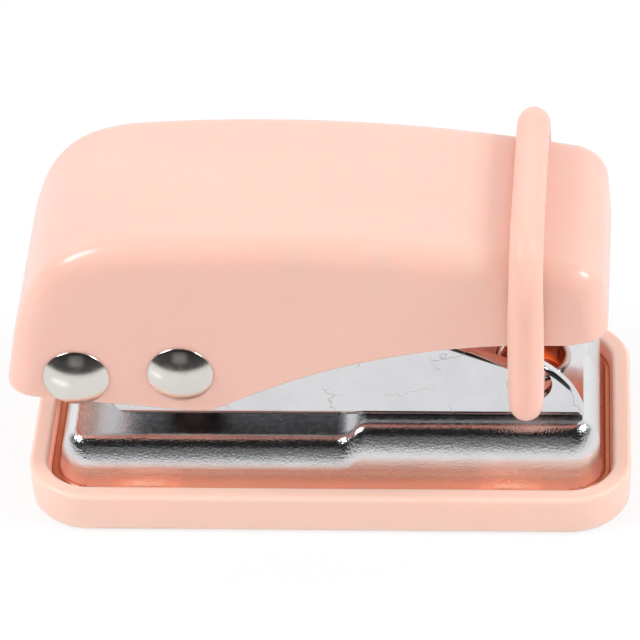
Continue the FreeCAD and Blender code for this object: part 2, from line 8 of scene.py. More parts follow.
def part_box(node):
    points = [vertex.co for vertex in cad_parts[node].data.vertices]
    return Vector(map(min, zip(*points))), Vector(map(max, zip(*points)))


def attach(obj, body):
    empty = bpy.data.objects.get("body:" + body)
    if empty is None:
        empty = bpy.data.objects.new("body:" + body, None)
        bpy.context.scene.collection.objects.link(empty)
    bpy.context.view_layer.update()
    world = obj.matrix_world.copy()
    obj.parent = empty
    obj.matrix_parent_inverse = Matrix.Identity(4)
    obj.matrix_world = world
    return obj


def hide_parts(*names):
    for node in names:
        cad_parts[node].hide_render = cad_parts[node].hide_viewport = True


# A mini hole punch on a white table. Sizes are in millimetres unless a name says otherwise.
# X runs towards the free end of the handle, Y away from the rivets' domed heads, Z up.

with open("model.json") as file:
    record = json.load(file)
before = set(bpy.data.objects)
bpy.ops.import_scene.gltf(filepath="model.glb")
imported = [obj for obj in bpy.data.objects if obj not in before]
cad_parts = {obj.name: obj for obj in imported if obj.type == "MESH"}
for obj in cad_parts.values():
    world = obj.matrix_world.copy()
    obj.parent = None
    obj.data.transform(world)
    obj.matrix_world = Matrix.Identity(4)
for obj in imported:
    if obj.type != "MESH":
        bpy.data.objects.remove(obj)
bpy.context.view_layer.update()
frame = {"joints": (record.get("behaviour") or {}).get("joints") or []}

MM = 0.001
X = Vector((1, 0, 0))
Y = Vector((0, 1, 0))
Z = Vector((0, 0, 1))


def at(x, z):
    """Point or direction in the punch's middle plane."""
    return Vector((x, 0, z))


def node_box(node):
    low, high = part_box(node)
    return low / MM, high / MM


def joint_place(name):
    joint = next(j for j in frame["joints"] if j["name"] == name)
    return Vector(joint["pos_m"]) / MM


tray_low, tray_high = node_box("base_tray")
plate_low, plate_high = node_box("base_plate")
channel_high = node_box("frame_channel")[1]
handle_low, handle_high = node_box("handle_shell")
pin_low, pin_high = node_box("punch_pin")
pivot = joint_place("handle_hinge")
loop_hinge = joint_place("lock_loop_hinge")

# Chip tray
tray_half_length = tray_high.x
tray_half_width = tray_high.y
tray_height = tray_high.z
tray_wall = 1.7
tray_floor = 1.2
tray_corner = 6.3
tray_draft = 0.08
tray_foot_round = 0.8
tray_rim_round = 0.45
tray_lip = 0.14
tray_lip_rise = 0.15
tray_edge = 0.15
ledge_fillet = 0.25
well_fillet = 0.4
ledge_width = 1.7
ledge_z = 2.2
snap_pitch = 36.0
snap_length = 6.0
snap_reach = 0.85
snap_thickness = 0.5
snap_clearance = 0.05
snap_root = 0.3

# Base plate
sheet = 1.1
flange_top = ledge_z + sheet
plate_half_length = (plate_high.x - plate_low.x) / 2
plate_half_width = plate_high.y
flange_corner = 4.5
skirt_centre_x = 0.075
skirt_half_length = 26.825
skirt_half_width = 10.9
skirt_corner = 3.1
roof_corner = 0.7
skirt_lean = 0.44
skirt_knee_z = 5.2
shoulder_bends = ((35, 1.2), (62, 2.0), (86, 5.6))
skirt_foot = 0.2
skirt_curve = 1.3
flange_edge = 0.15
roof_low = 8.45
slot_height = 1.6
roof_high = roof_low + slot_height
stop_run = 1.7
stop_bend = 1.95
step_zone_lead = 1.6
step_zone_run = 5.2

# Channel frame
web_bottom = roof_high
web_top = web_bottom + sheet
channel_half_width = channel_high.y
channel_inner = channel_half_width - sheet
channel_rear = channel_high.x
channel_front = pivot.x + 4.0
channel_bend = 1.0
channel_edge = 0.12
channel_roll_over = 0.6
channel_inner_bend = 0.3
web_front = channel_front + 0.3
lip_bend = 2.0
lip_angle = 32.0
lip_length = 2.0
lip_side_gap = 0.1
lip_overlap = 0.4
ear_radius = 3.4
ear_root = at(channel_front + 0.5, web_bottom)
roof_z = channel_high.z
roof_end_x = channel_rear - 19.2
slope_end = at(channel_rear - 7.4, web_bottom + 6.85)
nose_top = at(channel_rear - 3.9, web_bottom + 6.55)
nose_bulge = 0.6

# Lever
drive = at(pivot.x + 10.2, pivot.z + 0.5)
stop_x = drive.x + 15.8
step_x = stop_x - 0.35
fit_clearance = 0.05
rivet_radius = 1.5
head_radius = 3.25
head_rise = 1.1
head_edge = 0.13
head_edge_width = 0.12
tail_radius = 2.3
tail_rise = 0.75
tail_bore = 0.95
tail_bore_depth = 2.2
tail_roll = 0.33
washer_radius = 3.1
washer_thickness = 0.5
spacer_outer = 2.3
spacer_inner = 1.55

# Punch pin, spring and washer
pin_radius = 3.0
pin_chamfer = 0.4
pin_land = 0.2
pin_hollow = 0.6
pin_slot_play = 0.12
pin_slot_sweep = 0.21
wire_radius = 0.3
coil_radius = 3.65
coil_turns = 3.25
coil_end_gap = 0.02
spring_washer_radius = 4.45
spring_washer_thickness = 0.5
spring_washer_top = drive.z - rivet_radius - 0.1

# Eyelets
eyelet_bore = 3.05
eyelet_wall = 0.45
eyelet_overhang = 0.28
eyelet_flange = 0.45
eyelet_crown = 0.36
eyelet_places = {
    "eyelet_rear": channel_rear - 5.0,
    "eyelet_front": stop_x + 7.1,
}

# Handle
handle_half_width = handle_high.y
handle_wall = 2.0
handle_edge = 2.5
crest = at(pivot.x + 17.1, pivot.z + 15.95)
crown_radius = 158.0
crown_centre = at(crest.x, crest.z - crown_radius)
rear_point = at(pivot.x - 6.72, pivot.z)
rear_lean = 0.18
rear_bend_z = pivot.z + 2.65
rear_bend_pull = 9.64
crown_bend_x = pivot.x + 5.99
crown_bend_pull = 7.3
front_point = at(channel_rear + 2.6, pivot.z + 4.1)
front_lean = -0.075
front_round = 3.8
front_skew = 0.25
lobe_x = pivot.x + 11.7
lobe_z = pivot.z - 4.28
lobe_radius = 5.6
lobe_line_slope = -0.106
arch_crest = at(channel_rear - 4.8, pivot.z + 4.1)
rim_round = 0.35
rim_round_rear = 0.5
rim_round_front = 1.05
rim_blend = (1.5, 4.0)
rib_start = 5.0
rib_thickness = 1.2
rib_pitch = 8.0
rib_depth = 3.2
rib_edge = 0.2
boss_radius = 3.6
boss_gap = 0.1
boss_edge = 0.2

# Lock loop
bar_width = 3.5
bar_thickness = 2.3
bar_corner = 0.25
loop_side_gap = 0.8
loop_top_gap = 1.7
loop_top_bend = 5.5
loop_foot_bend = 2.2
loop_pin_reach = 0.7
loop_pin_straight = 1.5
loop_hole_play = 0.45
loop_yaw = radians(1.5)
loop_taper_top = 0.07
loop_taper_foot = 0.05
loop_taper_run = 4.0

# Studio, in metres
table_half = 3.0
table_level = -0.00002
table_end = -0.072
table_end_blur = 0.012
hot_spot = Vector((-0.0405, -0.0310, 0))
hot_spot_gap = 0.003

# Steps along the corners and the short sides of a rounded ring
corner_steps = 14
end_steps = 10


def arc(centre, radius, start, end, steps):
    """Points of an arc in a plane as (u, v) pairs. Angles are in degrees."""
    made = []
    for n in range(steps + 1):
        turn = radians(start + (end - start) * n / steps)
        made.append((centre[0] + radius * cos(turn), centre[1] + radius * sin(turn)))
    return made


def quarter(steps):
    """Even turns from 0 to a right angle, in radians."""
    return [radians(90 * n / steps) for n in range(steps + 1)]


def smooth(value, low, high):
    """Smooth step from 0 at low to 1 at high."""
    t = min(1.0, max(0.0, (value - low) / (high - low)))
    return t * t * (3 - 2 * t)


class Skin:
    """Points and faces of one piece, gathered before they become a mesh."""

    def __init__(self):
        self.points = []
        self.faces = []
        self.tones = []
        self.tone = 0

    def paint(self, tone):
        """Sets the material number of the faces added from here on."""
        self.tones += [self.tone] * (len(self.faces) - len(self.tones))
        self.tone = tone

    def add(self, points):
        first = len(self.points)
        self.points += [Vector(p) for p in points]
        return first

    def cap(self, ring):
        first = self.add(ring)
        self.faces.append(tuple(range(first, first + len(ring))))

    def loft(self, rings, closed=True, wrap=False):
        """Faces between neighbouring rings of points. A ring of one point is a pole."""
        starts = [(self.add(ring), len(ring)) for ring in rings]
        for (a, count_a), (b, count_b) in zip(starts, starts[1:] + starts[:1] if wrap else starts[1:]):
            count = max(count_a, count_b)
            for n in range(count if closed else count - 1):
                m = (n + 1) % count
                face = [a + n % count_a, a + m % count_a, b + m % count_b, b + n % count_b]
                self.faces.append(tuple(dict.fromkeys(face)))

    def solid(self, rings):
        """Loft with a face at both ends."""
        self.loft(rings)
        self.cap(rings[0])
        self.cap(rings[-1])

    def lathe(self, profile, centre, axis, segments=72, wrap=False):
        """Profile of (radius, height) pairs turned about an axis through centre. Radius 0 is a pole."""
        side = axis.orthogonal().normalized()
        other = axis.cross(side)
        turns = [2 * pi * n / segments for n in range(segments)]
        out = [side * cos(turn) + other * sin(turn) for turn in turns]
        self.loft([[centre + axis * height + u * radius for u in (out if radius else out[:1])]
                   for radius, height in profile], wrap=wrap)


def add_object(name, data):
    made = bpy.data.objects.new(name, data)
    bpy.context.scene.collection.objects.link(made)
    return made


def build(name, skin):
    """Mesh object from a skin, welded, with its faces turned outwards."""
    skin.paint(0)
    mesh = bpy.data.meshes.new(name)
    mesh.from_pydata([p * MM for p in skin.points], [], skin.faces)
    mesh.polygons.foreach_set("material_index", skin.tones)
    shape = bmesh.new()
    shape.from_mesh(mesh)
    bmesh.ops.remove_doubles(shape, verts=shape.verts, dist=0.002 * MM)
    bmesh.ops.dissolve_degenerate(shape, edges=shape.edges, dist=0.0005 * MM)
    bmesh.ops.recalc_face_normals(shape, faces=shape.faces)
    shape.to_mesh(mesh)
    shape.free()
    return add_object(name, mesh)


def bake_modifiers(piece):
    """Keeps the result of a piece's modifiers as its mesh."""
    graph = bpy.context.evaluated_depsgraph_get()
    mesh = bpy.data.meshes.new_from_object(piece.evaluated_get(graph), depsgraph=graph)
    piece.modifiers.clear()
    piece.data = mesh


def combine(piece, other, operation):
    """Cuts another closed object out of a piece, or joins it on, and removes the other."""
    step = piece.modifiers.new(operation, "BOOLEAN")
    step.operation = operation
    step.solver = "EXACT"
    step.object = other
    bake_modifiers(piece)
    bpy.data.objects.remove(other)


def soften_edges(piece, width, segments=3):
    """Rounds the sharp edges of a piece."""
    step = piece.modifiers.new("edges", "BEVEL")
    step.width = width * MM
    step.segments = segments
    step.limit_method = "ANGLE"
    step.angle_limit = radians(35)
    bake_modifiers(piece)


def turned(name, profile, centre, axis, segments=72, wrap=True):
    """Piece made by turning a profile, which wrap closes unless it runs from pole to pole."""
    skin = Skin()
    skin.lathe(profile, centre, axis, segments, wrap)
    return build(name, skin)


def drill(piece, radius, start, end):
    """Cuts a round hole from start to end."""
    height = (end - start).length
    profile = [(0, 0), (radius, 0), (radius, height), (0, height)]
    combine(piece, turned("cutter", profile, start, (end - start).normalized(), 64, False), "DIFFERENCE")


def drill_sheet(piece, low, high):
    """Cuts the holes for the pin and the eyelets, which the plate and the channel share."""
    drill(piece, pin_radius + fit_clearance, at(drive.x, low), at(drive.x, high))
    for x in eyelet_places.values():
        drill(piece, eyelet_bore + eyelet_wall + fit_clearance, at(x, low), at(x, high))


def slices(outlines):
    """Rings from outlines given as (y, [(x, z), ...]) pairs."""
    return [[Vector((x, y, z)) for x, z in outline] for y, outline in outlines]


def lofted(name, rings):
    """Piece lofted through rings, with a face at both ends."""
    skin = Skin()
    skin.solid(rings)
    return build(name, skin)


def prism(outlines):
    """Closed piece through such outlines."""
    return lofted("prism", slices(outlines))


def slab(half, outline):
    """Prism of one outline that reaches as far as half to both sides."""
    return prism([(-half, outline), (half, outline)])


def dress(piece, body, nodes, materials, sharp_angle=40):
    """Gives a finished piece its shading, material, body and the nodes that it stands for."""
    piece.data.shade_smooth()
    piece.data.set_sharp_from_angle(angle=radians(sharp_angle))
    weighted = piece.modifiers.new("normals", "WEIGHTED_NORMAL")
    weighted.keep_sharp = True
    bake_modifiers(piece)
    tones = [face.material_index for face in piece.data.polygons]
    piece.data.materials.clear()
    for material in materials if isinstance(materials, tuple) else (materials,):
        piece.data.materials.append(material)
    piece.data.polygons.foreach_set("material_index", tones)
    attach(piece, body)
    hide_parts(*nodes)


# Node trees

def plug(node, **inputs):
    """Sets or links inputs by socket name, or by i0, i1 and so on for a numbered one."""
    for key, value in inputs.items():
        numbered = key[0] == "i" and key[1:].isdigit()
        socket = node.inputs[int(key[1:])] if numbered else node.inputs[key.replace("_", " ")]
        if isinstance(value, bpy.types.NodeSocket):
            node.id_data.links.new(value, socket)
        else:
            socket.default_value = value


def add_node(tree, kind, settings=(), **inputs):
    made = tree.nodes.new("ShaderNode" + kind)
    for key, value in dict(settings).items():
        setattr(made, key, value)
    plug(made, **inputs)
    return made


def fed_by(node, name):
    """What already feeds an input."""
    return node.inputs[name].links[0].from_socket


def here(tree):
    """The place on the surface, in the object's own coordinates."""
    return add_node(tree, "TexCoord").outputs["Object"]


def here_parts(tree):
    return add_node(tree, "SeparateXYZ", i0=here(tree)).outputs


def vector_maths(tree, operation, *values, output=0):
    inputs = {f"i{n}": value for n, value in enumerate(values)}
    return add_node(tree, "VectorMath", {"operation": operation}, **inputs).outputs[output]


def maths(tree, operation, first, second=0.0):
    return add_node(tree, "Math", {"operation": operation}, i0=first, i1=second).outputs[0]


def ramp(tree, factor, low, high, bottom=0.0, top=1.0):
    """Maps a value between two limits smoothly onto another range."""
    return add_node(tree, "MapRange", {"interpolation_type": "SMOOTHSTEP"},
                    i0=factor, i1=low, i2=high, i3=bottom, i4=top).outputs[0]


def mix_shader(tree, factor, first, second):
    return add_node(tree, "MixShader", i0=factor, i1=first, i2=second).outputs[0]


def white(tree, kind, strength):
    """White emission or background."""
    return add_node(tree, kind, Color=(1, 1, 1, 1), Strength=strength).outputs[0]


def new_material(name):
    material = bpy.data.materials.new(name)
    material.use_nodes = True
    tree = material.node_tree
    tree.nodes.clear()
    surface = add_node(tree, "BsdfPrincipled")
    add_node(tree, "OutputMaterial", Surface=surface.outputs[0])
    return material, tree, surface


def grain(tree, scale_mm, detail=3.0, roughness=0.5, stretch=(1, 1, 1)):
    """Noise whose cells measure about scale_mm, in the object's own coordinates."""
    mapped = add_node(tree, "Mapping", i3=stretch, Vector=here(tree)).outputs[0]
    return add_node(tree, "TexNoise", Vector=mapped, Scale=1 / (scale_mm * MM), Detail=detail,
                    Roughness=roughness).outputs[0]


def mix_colour(tree, factor, first, second):
    """Mixes colours, each a socket or (red, green, blue)."""
    ends = [(*end, 1) if isinstance(end, tuple) else end for end in (first, second)]
    return add_node(tree, "Mix", {"data_type": "RGBA"}, i0=factor, i6=ends[0], i7=ends[1]).outputs[2]


def mix_number(tree, factor, first, second):
    return add_node(tree, "Mix", {"data_type": "FLOAT"}, i0=factor, i2=first, i3=second).outputs[0]


def bump(tree, height, distance_mm, strength=1.0, **normal):
    return add_node(tree, "Bump", Height=height, Distance=distance_mm * MM, Strength=strength,
                    **normal).outputs[0]


def worn_edges(tree, strength):
    """How far the finish is rubbed off: only on outward edges, in patches."""
    edge = ramp(tree, add_node(tree, "NewGeometry").outputs["Pointiness"], 0.515, 0.555, 0.0, strength)
    return maths(tree, "MULTIPLY", edge, ramp(tree, grain(tree, 0.8), 0.40, 0.62))


def moulded_plastic(name, colour, deep_colour, gloss=0.35, shine=0.5):
    """Moulded plastic, slightly translucent, with faint flow clouds, orange peel and paler rubbed edges.
    gloss is the weight of its coat, shine the specular level under it."""
    material, tree, surface = new_material(name)
    clouds = ramp(tree, grain(tree, 12.0, 1.0, stretch=(0.5, 1, 1)), 0.2, 0.8)
    fresh = mix_colour(tree, clouds, colour, deep_colour)
    rubbed = tuple(min(c * 1.05, 1.0) for c in colour)
    plug(surface, Base_Color=mix_colour(tree, worn_edges(tree, 0.6), fresh, rubbed),
         Roughness=ramp(tree, grain(tree, 3.0), 0.2, 0.8, 0.285, 0.35),
         Normal=bump(tree, grain(tree, 2.2, 1.0), 0.012, 0.3))
    plug(surface, IOR=1.49, Specular_IOR_Level=shine, Coat_Weight=gloss, Coat_Roughness=0.16,
         Sheen_Weight=0.12, Sheen_Roughness=0.35, Subsurface_Weight=0.5,
         Subsurface_Radius=(1.0, 0.35, 0.22), Subsurface_Scale=2.5 * MM)
    return material, tree, surface


def plastic_with_painted_glow(name, colour, deep_colour, low_mm, high_mm, strength):
    """The same plastic with a painted glow in a hollow, which stands in for light that reaches through its
    thin walls. The glow ends at high_mm.
    """
    material, tree, surface = moulded_plastic(name, colour, deep_colour)
    # Painted glow: emission that rises from nothing at high_mm to full strength at low_mm.
    depth = ramp(tree, here_parts(tree)[2], high_mm * MM, low_mm * MM, 0.0, strength)
    plug(surface, Emission_Color=(0.60, 0.20, 0.11, 1), Emission_Strength=depth)
    return material, tree, surface


def tray_inside_painted_glow(name, colour, deep_colour):
    """Inside of the tray, with a painted glow that stands in for light soaking through the walls and bouncing
    in the hollow. The walls glow most at the front left, and the floor only under the rear eyelet.
    """
    material, tree, surface = plastic_with_painted_glow(name, colour, deep_colour, flange_top - 0.4, tray_height + 1, 1)
    # Painted glow on the floor, strongest right under the rear eyelet's hole.
    hole = at(eyelet_places["eyelet_rear"], tray_floor) * MM
    away = vector_maths(tree, "DISTANCE", here(tree), hole, output="Value")
    painted_eyelet_glow = ramp(tree, away, 9 * MM, 3 * MM, 0.02, 2.4)
    # Painted glow on the walls, more towards the front left.
    front_left = vector_maths(tree, "DOT_PRODUCT", here(tree), (-0.25, -1, 0), output="Value")
    wall = ramp(tree, front_left, 0.0, 8 * MM, 0.24, 0.62)
    glow = maths(tree, "MULTIPLY", wall, fed_by(surface, "Emission Strength"))
    floor = ramp(tree, here_parts(tree)[2], ledge_z * MM, (tray_floor + 0.3) * MM)
    # Painted glow colours: pale orange on the walls, deep orange on the floor.
    plug(surface, Emission_Strength=mix_number(tree, floor, glow, painted_eyelet_glow),
         Emission_Color=mix_colour(tree, floor, (0.60, 0.36, 0.28), (0.72, 0.12, 0.018)))
    return material


def plated_metal(name, colour, dull_colour, rough, waves, pits, wear=0.4):
    """Bright plating over pressed sheet: slow waves, small pits, fine drawn lines and duller worn edges.
    rough is the range of the roughness. waves and pits are (size, height) in millimetres."""
    material, tree, surface = new_material(name)
    clouds = ramp(tree, grain(tree, 5.0, 4.0), 0.35, 0.7)
    fresh = mix_colour(tree, clouds, colour, dull_colour)
    bare = tuple(c * 0.78 for c in colour)
    wavy = bump(tree, grain(tree, waves[0], 2.0), waves[1])
    pitted = bump(tree, grain(tree, pits[0], 2.0, 0.6), pits[1], Normal=wavy)
    plug(surface, Metallic=1.0, Base_Color=mix_colour(tree, worn_edges(tree, wear), fresh, bare),
         Roughness=ramp(tree, grain(tree, 0.7, 5.0, 0.6), 0.35, 0.75, *rough),
         Normal=bump(tree, grain(tree, 0.25, 2.0, stretch=(0.08, 1, 1)), 0.001, Normal=pitted))
    return material, tree, surface


def plate_metal(name, colour, dull_colour):
    """The plate's plating. Near the tray its colour takes a painted reflection of the tray's pink, and on the
    flange's flat ends a painted dark reflection of the shaded tray wall.
    """
    material, tree, surface = plated_metal(name, colour, dull_colour, rough=(0.15, 0.25), waves=(6.0, 0.030),
                                           pits=(0.22, 0.045))
    place = here_parts(tree)
    # Painted reflection of the pink tray, from 1.2 mm above its rim downwards.
    near = ramp(tree, place[2], (tray_height + 1.2) * MM, tray_height * MM)
    deep = ramp(tree, place[2], tray_height * MM, (flange_top + 0.2) * MM)
    painted_tray_reflection = mix_colour(tree, deep, (0.90, 0.75, 0.68), (0.89, 0.76, 0.68))
    # Painted shade: the flange's flat ends turn dark orange-red, as the shaded tray wall would look in the
    # mirror.
    flat = ramp(tree, place[2], (flange_top + 0.15) * MM, (flange_top + 0.05) * MM)
    aside = maths(tree, "ABSOLUTE", place[0])
    end = ramp(tree, aside, (skirt_half_length - 3.6) * MM, (skirt_half_length - 2.2) * MM)
    painted_reflection_and_shade = mix_colour(tree, maths(tree, "MULTIPLY", flat, end), painted_tray_reflection, (0.50, 0.16, 0.08))
    plug(surface, Base_Color=mix_colour(tree, near, fed_by(surface, "Base Color"), painted_reflection_and_shade))
    return material


def scratched_metal(name, colour, dull_colour):
    """The channel's plating, smoother, with a few long hairline scratches and wrinkles."""
    material, tree, surface = plated_metal(name, colour, dull_colour, rough=(0.06, 0.14), waves=(4.0, 0.012),
                                           pits=(0.18, 0.0035), wear=0.08)
    noise = add_node(tree, "TexNoise", Vector=here(tree), Scale=1 / (2.5 * MM), Detail=3.0).outputs[1]
    centred = vector_maths(tree, "SUBTRACT", noise, (0.5, 0.5, 0.5))
    drift = add_node(tree, "VectorMath", {"operation": "SCALE"}, Scale=3.5 * MM, i0=centred).outputs[0]
    bent = vector_maths(tree, "ADD", here(tree), drift)
    cells = add_node(tree, "TexVoronoi", {"feature": "DISTANCE_TO_EDGE"}, Vector=bent, Scale=1 / (7.0 * MM))
    line = ramp(tree, cells.outputs["Distance"], 0.008, 0.001)
    scratch = maths(tree, "MULTIPLY", line, ramp(tree, grain(tree, 6.0, 1.0), 0.50, 0.58))
    deep = add_node(tree, "Bump", {"invert": True}, Height=scratch, Distance=0.009 * MM, Strength=1.0,
                    Normal=fed_by(surface, "Normal"))
    shade = maths(tree, "MULTIPLY", scratch, 0.35)
    plug(surface, Normal=deep.outputs[0],
         Base_Color=mix_colour(tree, shade, fed_by(surface, "Base Color"), (0.2, 0.2, 0.21)))
    return material


def drawn_steel(name, colour, rough, line_mm):
    """Bare bright steel with fine drawing or grinding lines."""
    material, tree, surface = new_material(name)
    clouds = ramp(tree, grain(tree, 1.2, 4.0), 0.3, 0.75)
    dull = tuple(c * 0.82 for c in colour)
    plug(surface, Metallic=1.0, Base_Color=mix_colour(tree, clouds, colour, dull),
         Roughness=ramp(tree, grain(tree, 0.4, 4.0), 0.3, 0.7, *rough),
         Normal=bump(tree, grain(tree, line_mm, 2.0, stretch=(1, 1, 0.1)), 0.004))
    return material


pink = (0.900, 0.555, 0.465)
pink_deep = (0.885, 0.540, 0.450)
# The tray's pink is a lighter copy of the handle's pink: painted light that stands in for light soaking
# through the thin tray and brightens it under the handle's shade.
tray_pink = (0.985, 0.645, 0.545)
tray_pink_deep = (0.970, 0.630, 0.530)
pink_handle = moulded_plastic("pink_handle", pink, pink_deep)[0]
# Inside faces of the handle: the handle's pink with a painted glow that grows from 34 mm down to 20 mm,
# standing in for light soaking through the shell.
pink_handle_inside_painted_glow = plastic_with_painted_glow("pink_handle_inside_painted_glow", pink, pink_deep, 20, 34, 0.45)[0]
pink_loop = moulded_plastic("pink_loop", pink, pink_deep, 0.02, 0.22)[0]
pink_tray = moulded_plastic("pink_tray", tray_pink, tray_pink_deep, 0.12)[0]
# A darker, redder copy of the tray's pink: painted shade for the hollow inside the tray, which also carries a
# painted glow.
pink_tray_inside_painted_glow_and_shade = tray_inside_painted_glow("pink_tray_inside_painted_glow_and_shade", (0.95, 0.56, 0.45), (0.93, 0.54, 0.43))
chrome_plate = plate_metal("chrome_plate", (0.80, 0.80, 0.81), (0.74, 0.74, 0.75))
chrome_channel = scratched_metal("chrome_channel", (0.78, 0.78, 0.80), (0.73, 0.73, 0.75))
nickel_tones = (0.80, 0.77, 0.72), (0.75, 0.72, 0.67)
nickel = plated_metal("nickel", *nickel_tones, rough=(0.07, 0.14), waves=(3.0, 0.003), pits=(0.16, 0.0010))[0]
rivet_nickel = plated_metal("rivet_nickel", *nickel_tones, rough=(0.17, 0.25), waves=(3.0, 0.004),
                            pits=(0.16, 0.0015))[0]
# The eyelets' nickel is tinted pink: a painted reflection of the pink handle and tray around them.
eyelet_nickel_with_painted_reflection = plated_metal("eyelet_nickel_with_painted_reflection", (0.68, 0.53, 0.49), (0.60, 0.46, 0.42), rough=(0.10, 0.20),
                             waves=(3.0, 0.003), pits=(0.16, 0.0010))[0]
wire_steel = drawn_steel("wire_steel", (0.62, 0.62, 0.64), (0.16, 0.34), 0.12)
ground_steel = drawn_steel("ground_steel", (0.66, 0.66, 0.67), (0.12, 0.28), 0.08)


# Chip tray

def rounded_ring(half_x, half_y, radius, z, centre_x, side_x):
    """Closed ring of a rectangle with round corners. side_x are the places along the long sides."""
    radius = max(radius, 0.02)
    cx = half_x - radius
    cy = half_y - radius
    end_y = [2 * cy * n / end_steps - cy for n in range(1, end_steps)]
    ring = arc((cx, cy), radius, 0, 90, corner_steps) + [(x, half_y) for x in reversed(side_x)]
    ring += arc((-cx, cy), radius, 90, 180, corner_steps) + [(-half_x, -y) for y in end_y]
    ring += arc((-cx, -cy), radius, 180, 270, corner_steps) + [(x, -half_y) for x in side_x]
    ring += arc((cx, -cy), radius, 270, 360, corner_steps) + [(half_x, y) for y in end_y]
    return [Vector((centre_x + x, y, z)) for x, y in ring]


def tray_ring(inset, z):
    reach = tray_half_length - tray_corner
    steps = 24
    side_x = [reach * (-1 + 2 * n / steps) for n in range(1, steps)]
    return rounded_ring(tray_half_length - inset, tray_half_width - inset, tray_corner - inset, z, 0, side_x)


def snap_bead(skin, x, side):
    """Small moulded catch on the tray's wall that holds the plate's flange down. It tapers to both ends."""
    bottom = flange_top + snap_clearance
    top = bottom + snap_thickness
    wall = tray_half_width - tray_wall
    root = wall + snap_root
    steps = 16
    rings = []
    for n in range(steps + 1):
        share = -1 + 2 * n / steps
        reach = max(snap_reach * cos(share * pi / 2), 0.02)
        tip = wall - reach
        profile = [(root, bottom), (tip + 0.15 * reach, bottom), (tip, bottom + 0.12), (tip, bottom + 0.2),
                   (tip + 0.5 * reach, top), (root, top)]
        rings.append([Vector((x + share * snap_length / 2, side * y, z)) for y, z in profile])
    skin.solid(rings)


def make_tray():
    foot = arc((tray_draft + tray_foot_round, tray_foot_round), tray_foot_round, 270, 180, 8)
    inner = tray_wall + tray_lip - tray_rim_round
    shoulder = tray_height - tray_rim_round
    rim = arc((tray_rim_round, shoulder), tray_rim_round, 180, 90, 7)
    rim += arc((inner, shoulder), tray_rim_round, 90, 0, 7)
    lip = [(tray_wall, flange_top + tray_lip_rise)]
    fillet = arc((tray_wall + ledge_fillet, ledge_z + ledge_fillet), ledge_fillet, 180, 270, 4)
    pocket = tray_wall + ledge_width
    well = [(pocket - tray_edge, ledge_z), (pocket, ledge_z - tray_edge)]
    well += arc((pocket + well_fillet, tray_floor + well_fillet), well_fillet, 180, 270, 5)
    outside = [tray_ring(inset, z) for inset, z in foot + rim]
    within = [tray_ring(inset, z) for inset, z in rim[-1:] + lip + fillet + well]
    skin = Skin()
    skin.loft(outside)
    skin.cap(outside[0])
    skin.paint(1)
    skin.loft(within)
    skin.cap(within[-1])
    for x in (-snap_pitch / 2, snap_pitch / 2):
        for side in (-1, 1):
            snap_bead(skin, x, side)
    dress(build("chip_tray", skin), "frame", ["base_tray"], (pink_tray, pink_tray_inside_painted_glow_and_shade))


# Base plate

def roof_level(x, inset):
    """Height of the platform's roof: low for the paper, a step with two bends, then high."""
    slope = atan2(slot_height, stop_run)
    half = tan(slope / 2)
    valley = stop_bend + inset
    top_bend = stop_bend - inset
    foot_x = step_x + inset * half
    foot_z = roof_low - inset
    high_x = foot_x + stop_run
    high_z = foot_z + slot_height
    start = foot_x - valley * half
    end = high_x + top_bend * half
    if x <= start:
        return foot_z
    if x >= end:
        return high_z
    if x < start + valley * sin(slope):
        return foot_z + valley - sqrt(valley ** 2 - (x - start) ** 2)
    if x > end - top_bend * sin(slope):
        return high_z - top_bend + sqrt(top_bend ** 2 - (end - x) ** 2)
    return foot_z + (x - foot_x) * tan(slope)


def plate_side_x():
    """Places along the plate's long sides, close together at the step."""
    reach = skirt_half_length - skirt_corner
    places = [reach * (-1 + 2 * n / 60) for n in range(1, 60)]
    start = step_x - skirt_centre_x - step_zone_lead
    end = start + step_zone_run
    margin = 0.3
    step = [start + (end - start) * n / 36 for n in range(37)]
    return sorted([x for x in places if x < start - margin or x > end + margin] + step)


def flange_ring(inset, z, side_x):
    reach = (plate_half_length - flange_corner) / (skirt_half_length - skirt_corner)
    return rounded_ring(plate_half_length - inset, plate_half_width - inset, flange_corner - inset, z,
                        (plate_high.x + plate_low.x) / 2, [x * reach for x in side_x])


def shoulder_curve(inset):
    """From the roof's edge down over the shoulder, as (reach, drop) pairs, in bends of growing radius."""
    made = [(0.0, 0.0)]
    start = 0
    steps = 7
    for end, radius in shoulder_bends:
        turns = [radians(start + (end - start) * n / steps) for n in range(steps + 1)]
        for a, b in zip(turns, turns[1:]):
            reach, drop = made[-1]
            made.append((reach + (radius - inset) * (sin(b) - sin(a)),
                         drop + (radius - inset) * (cos(a) - cos(b))))
        start = end
    return made


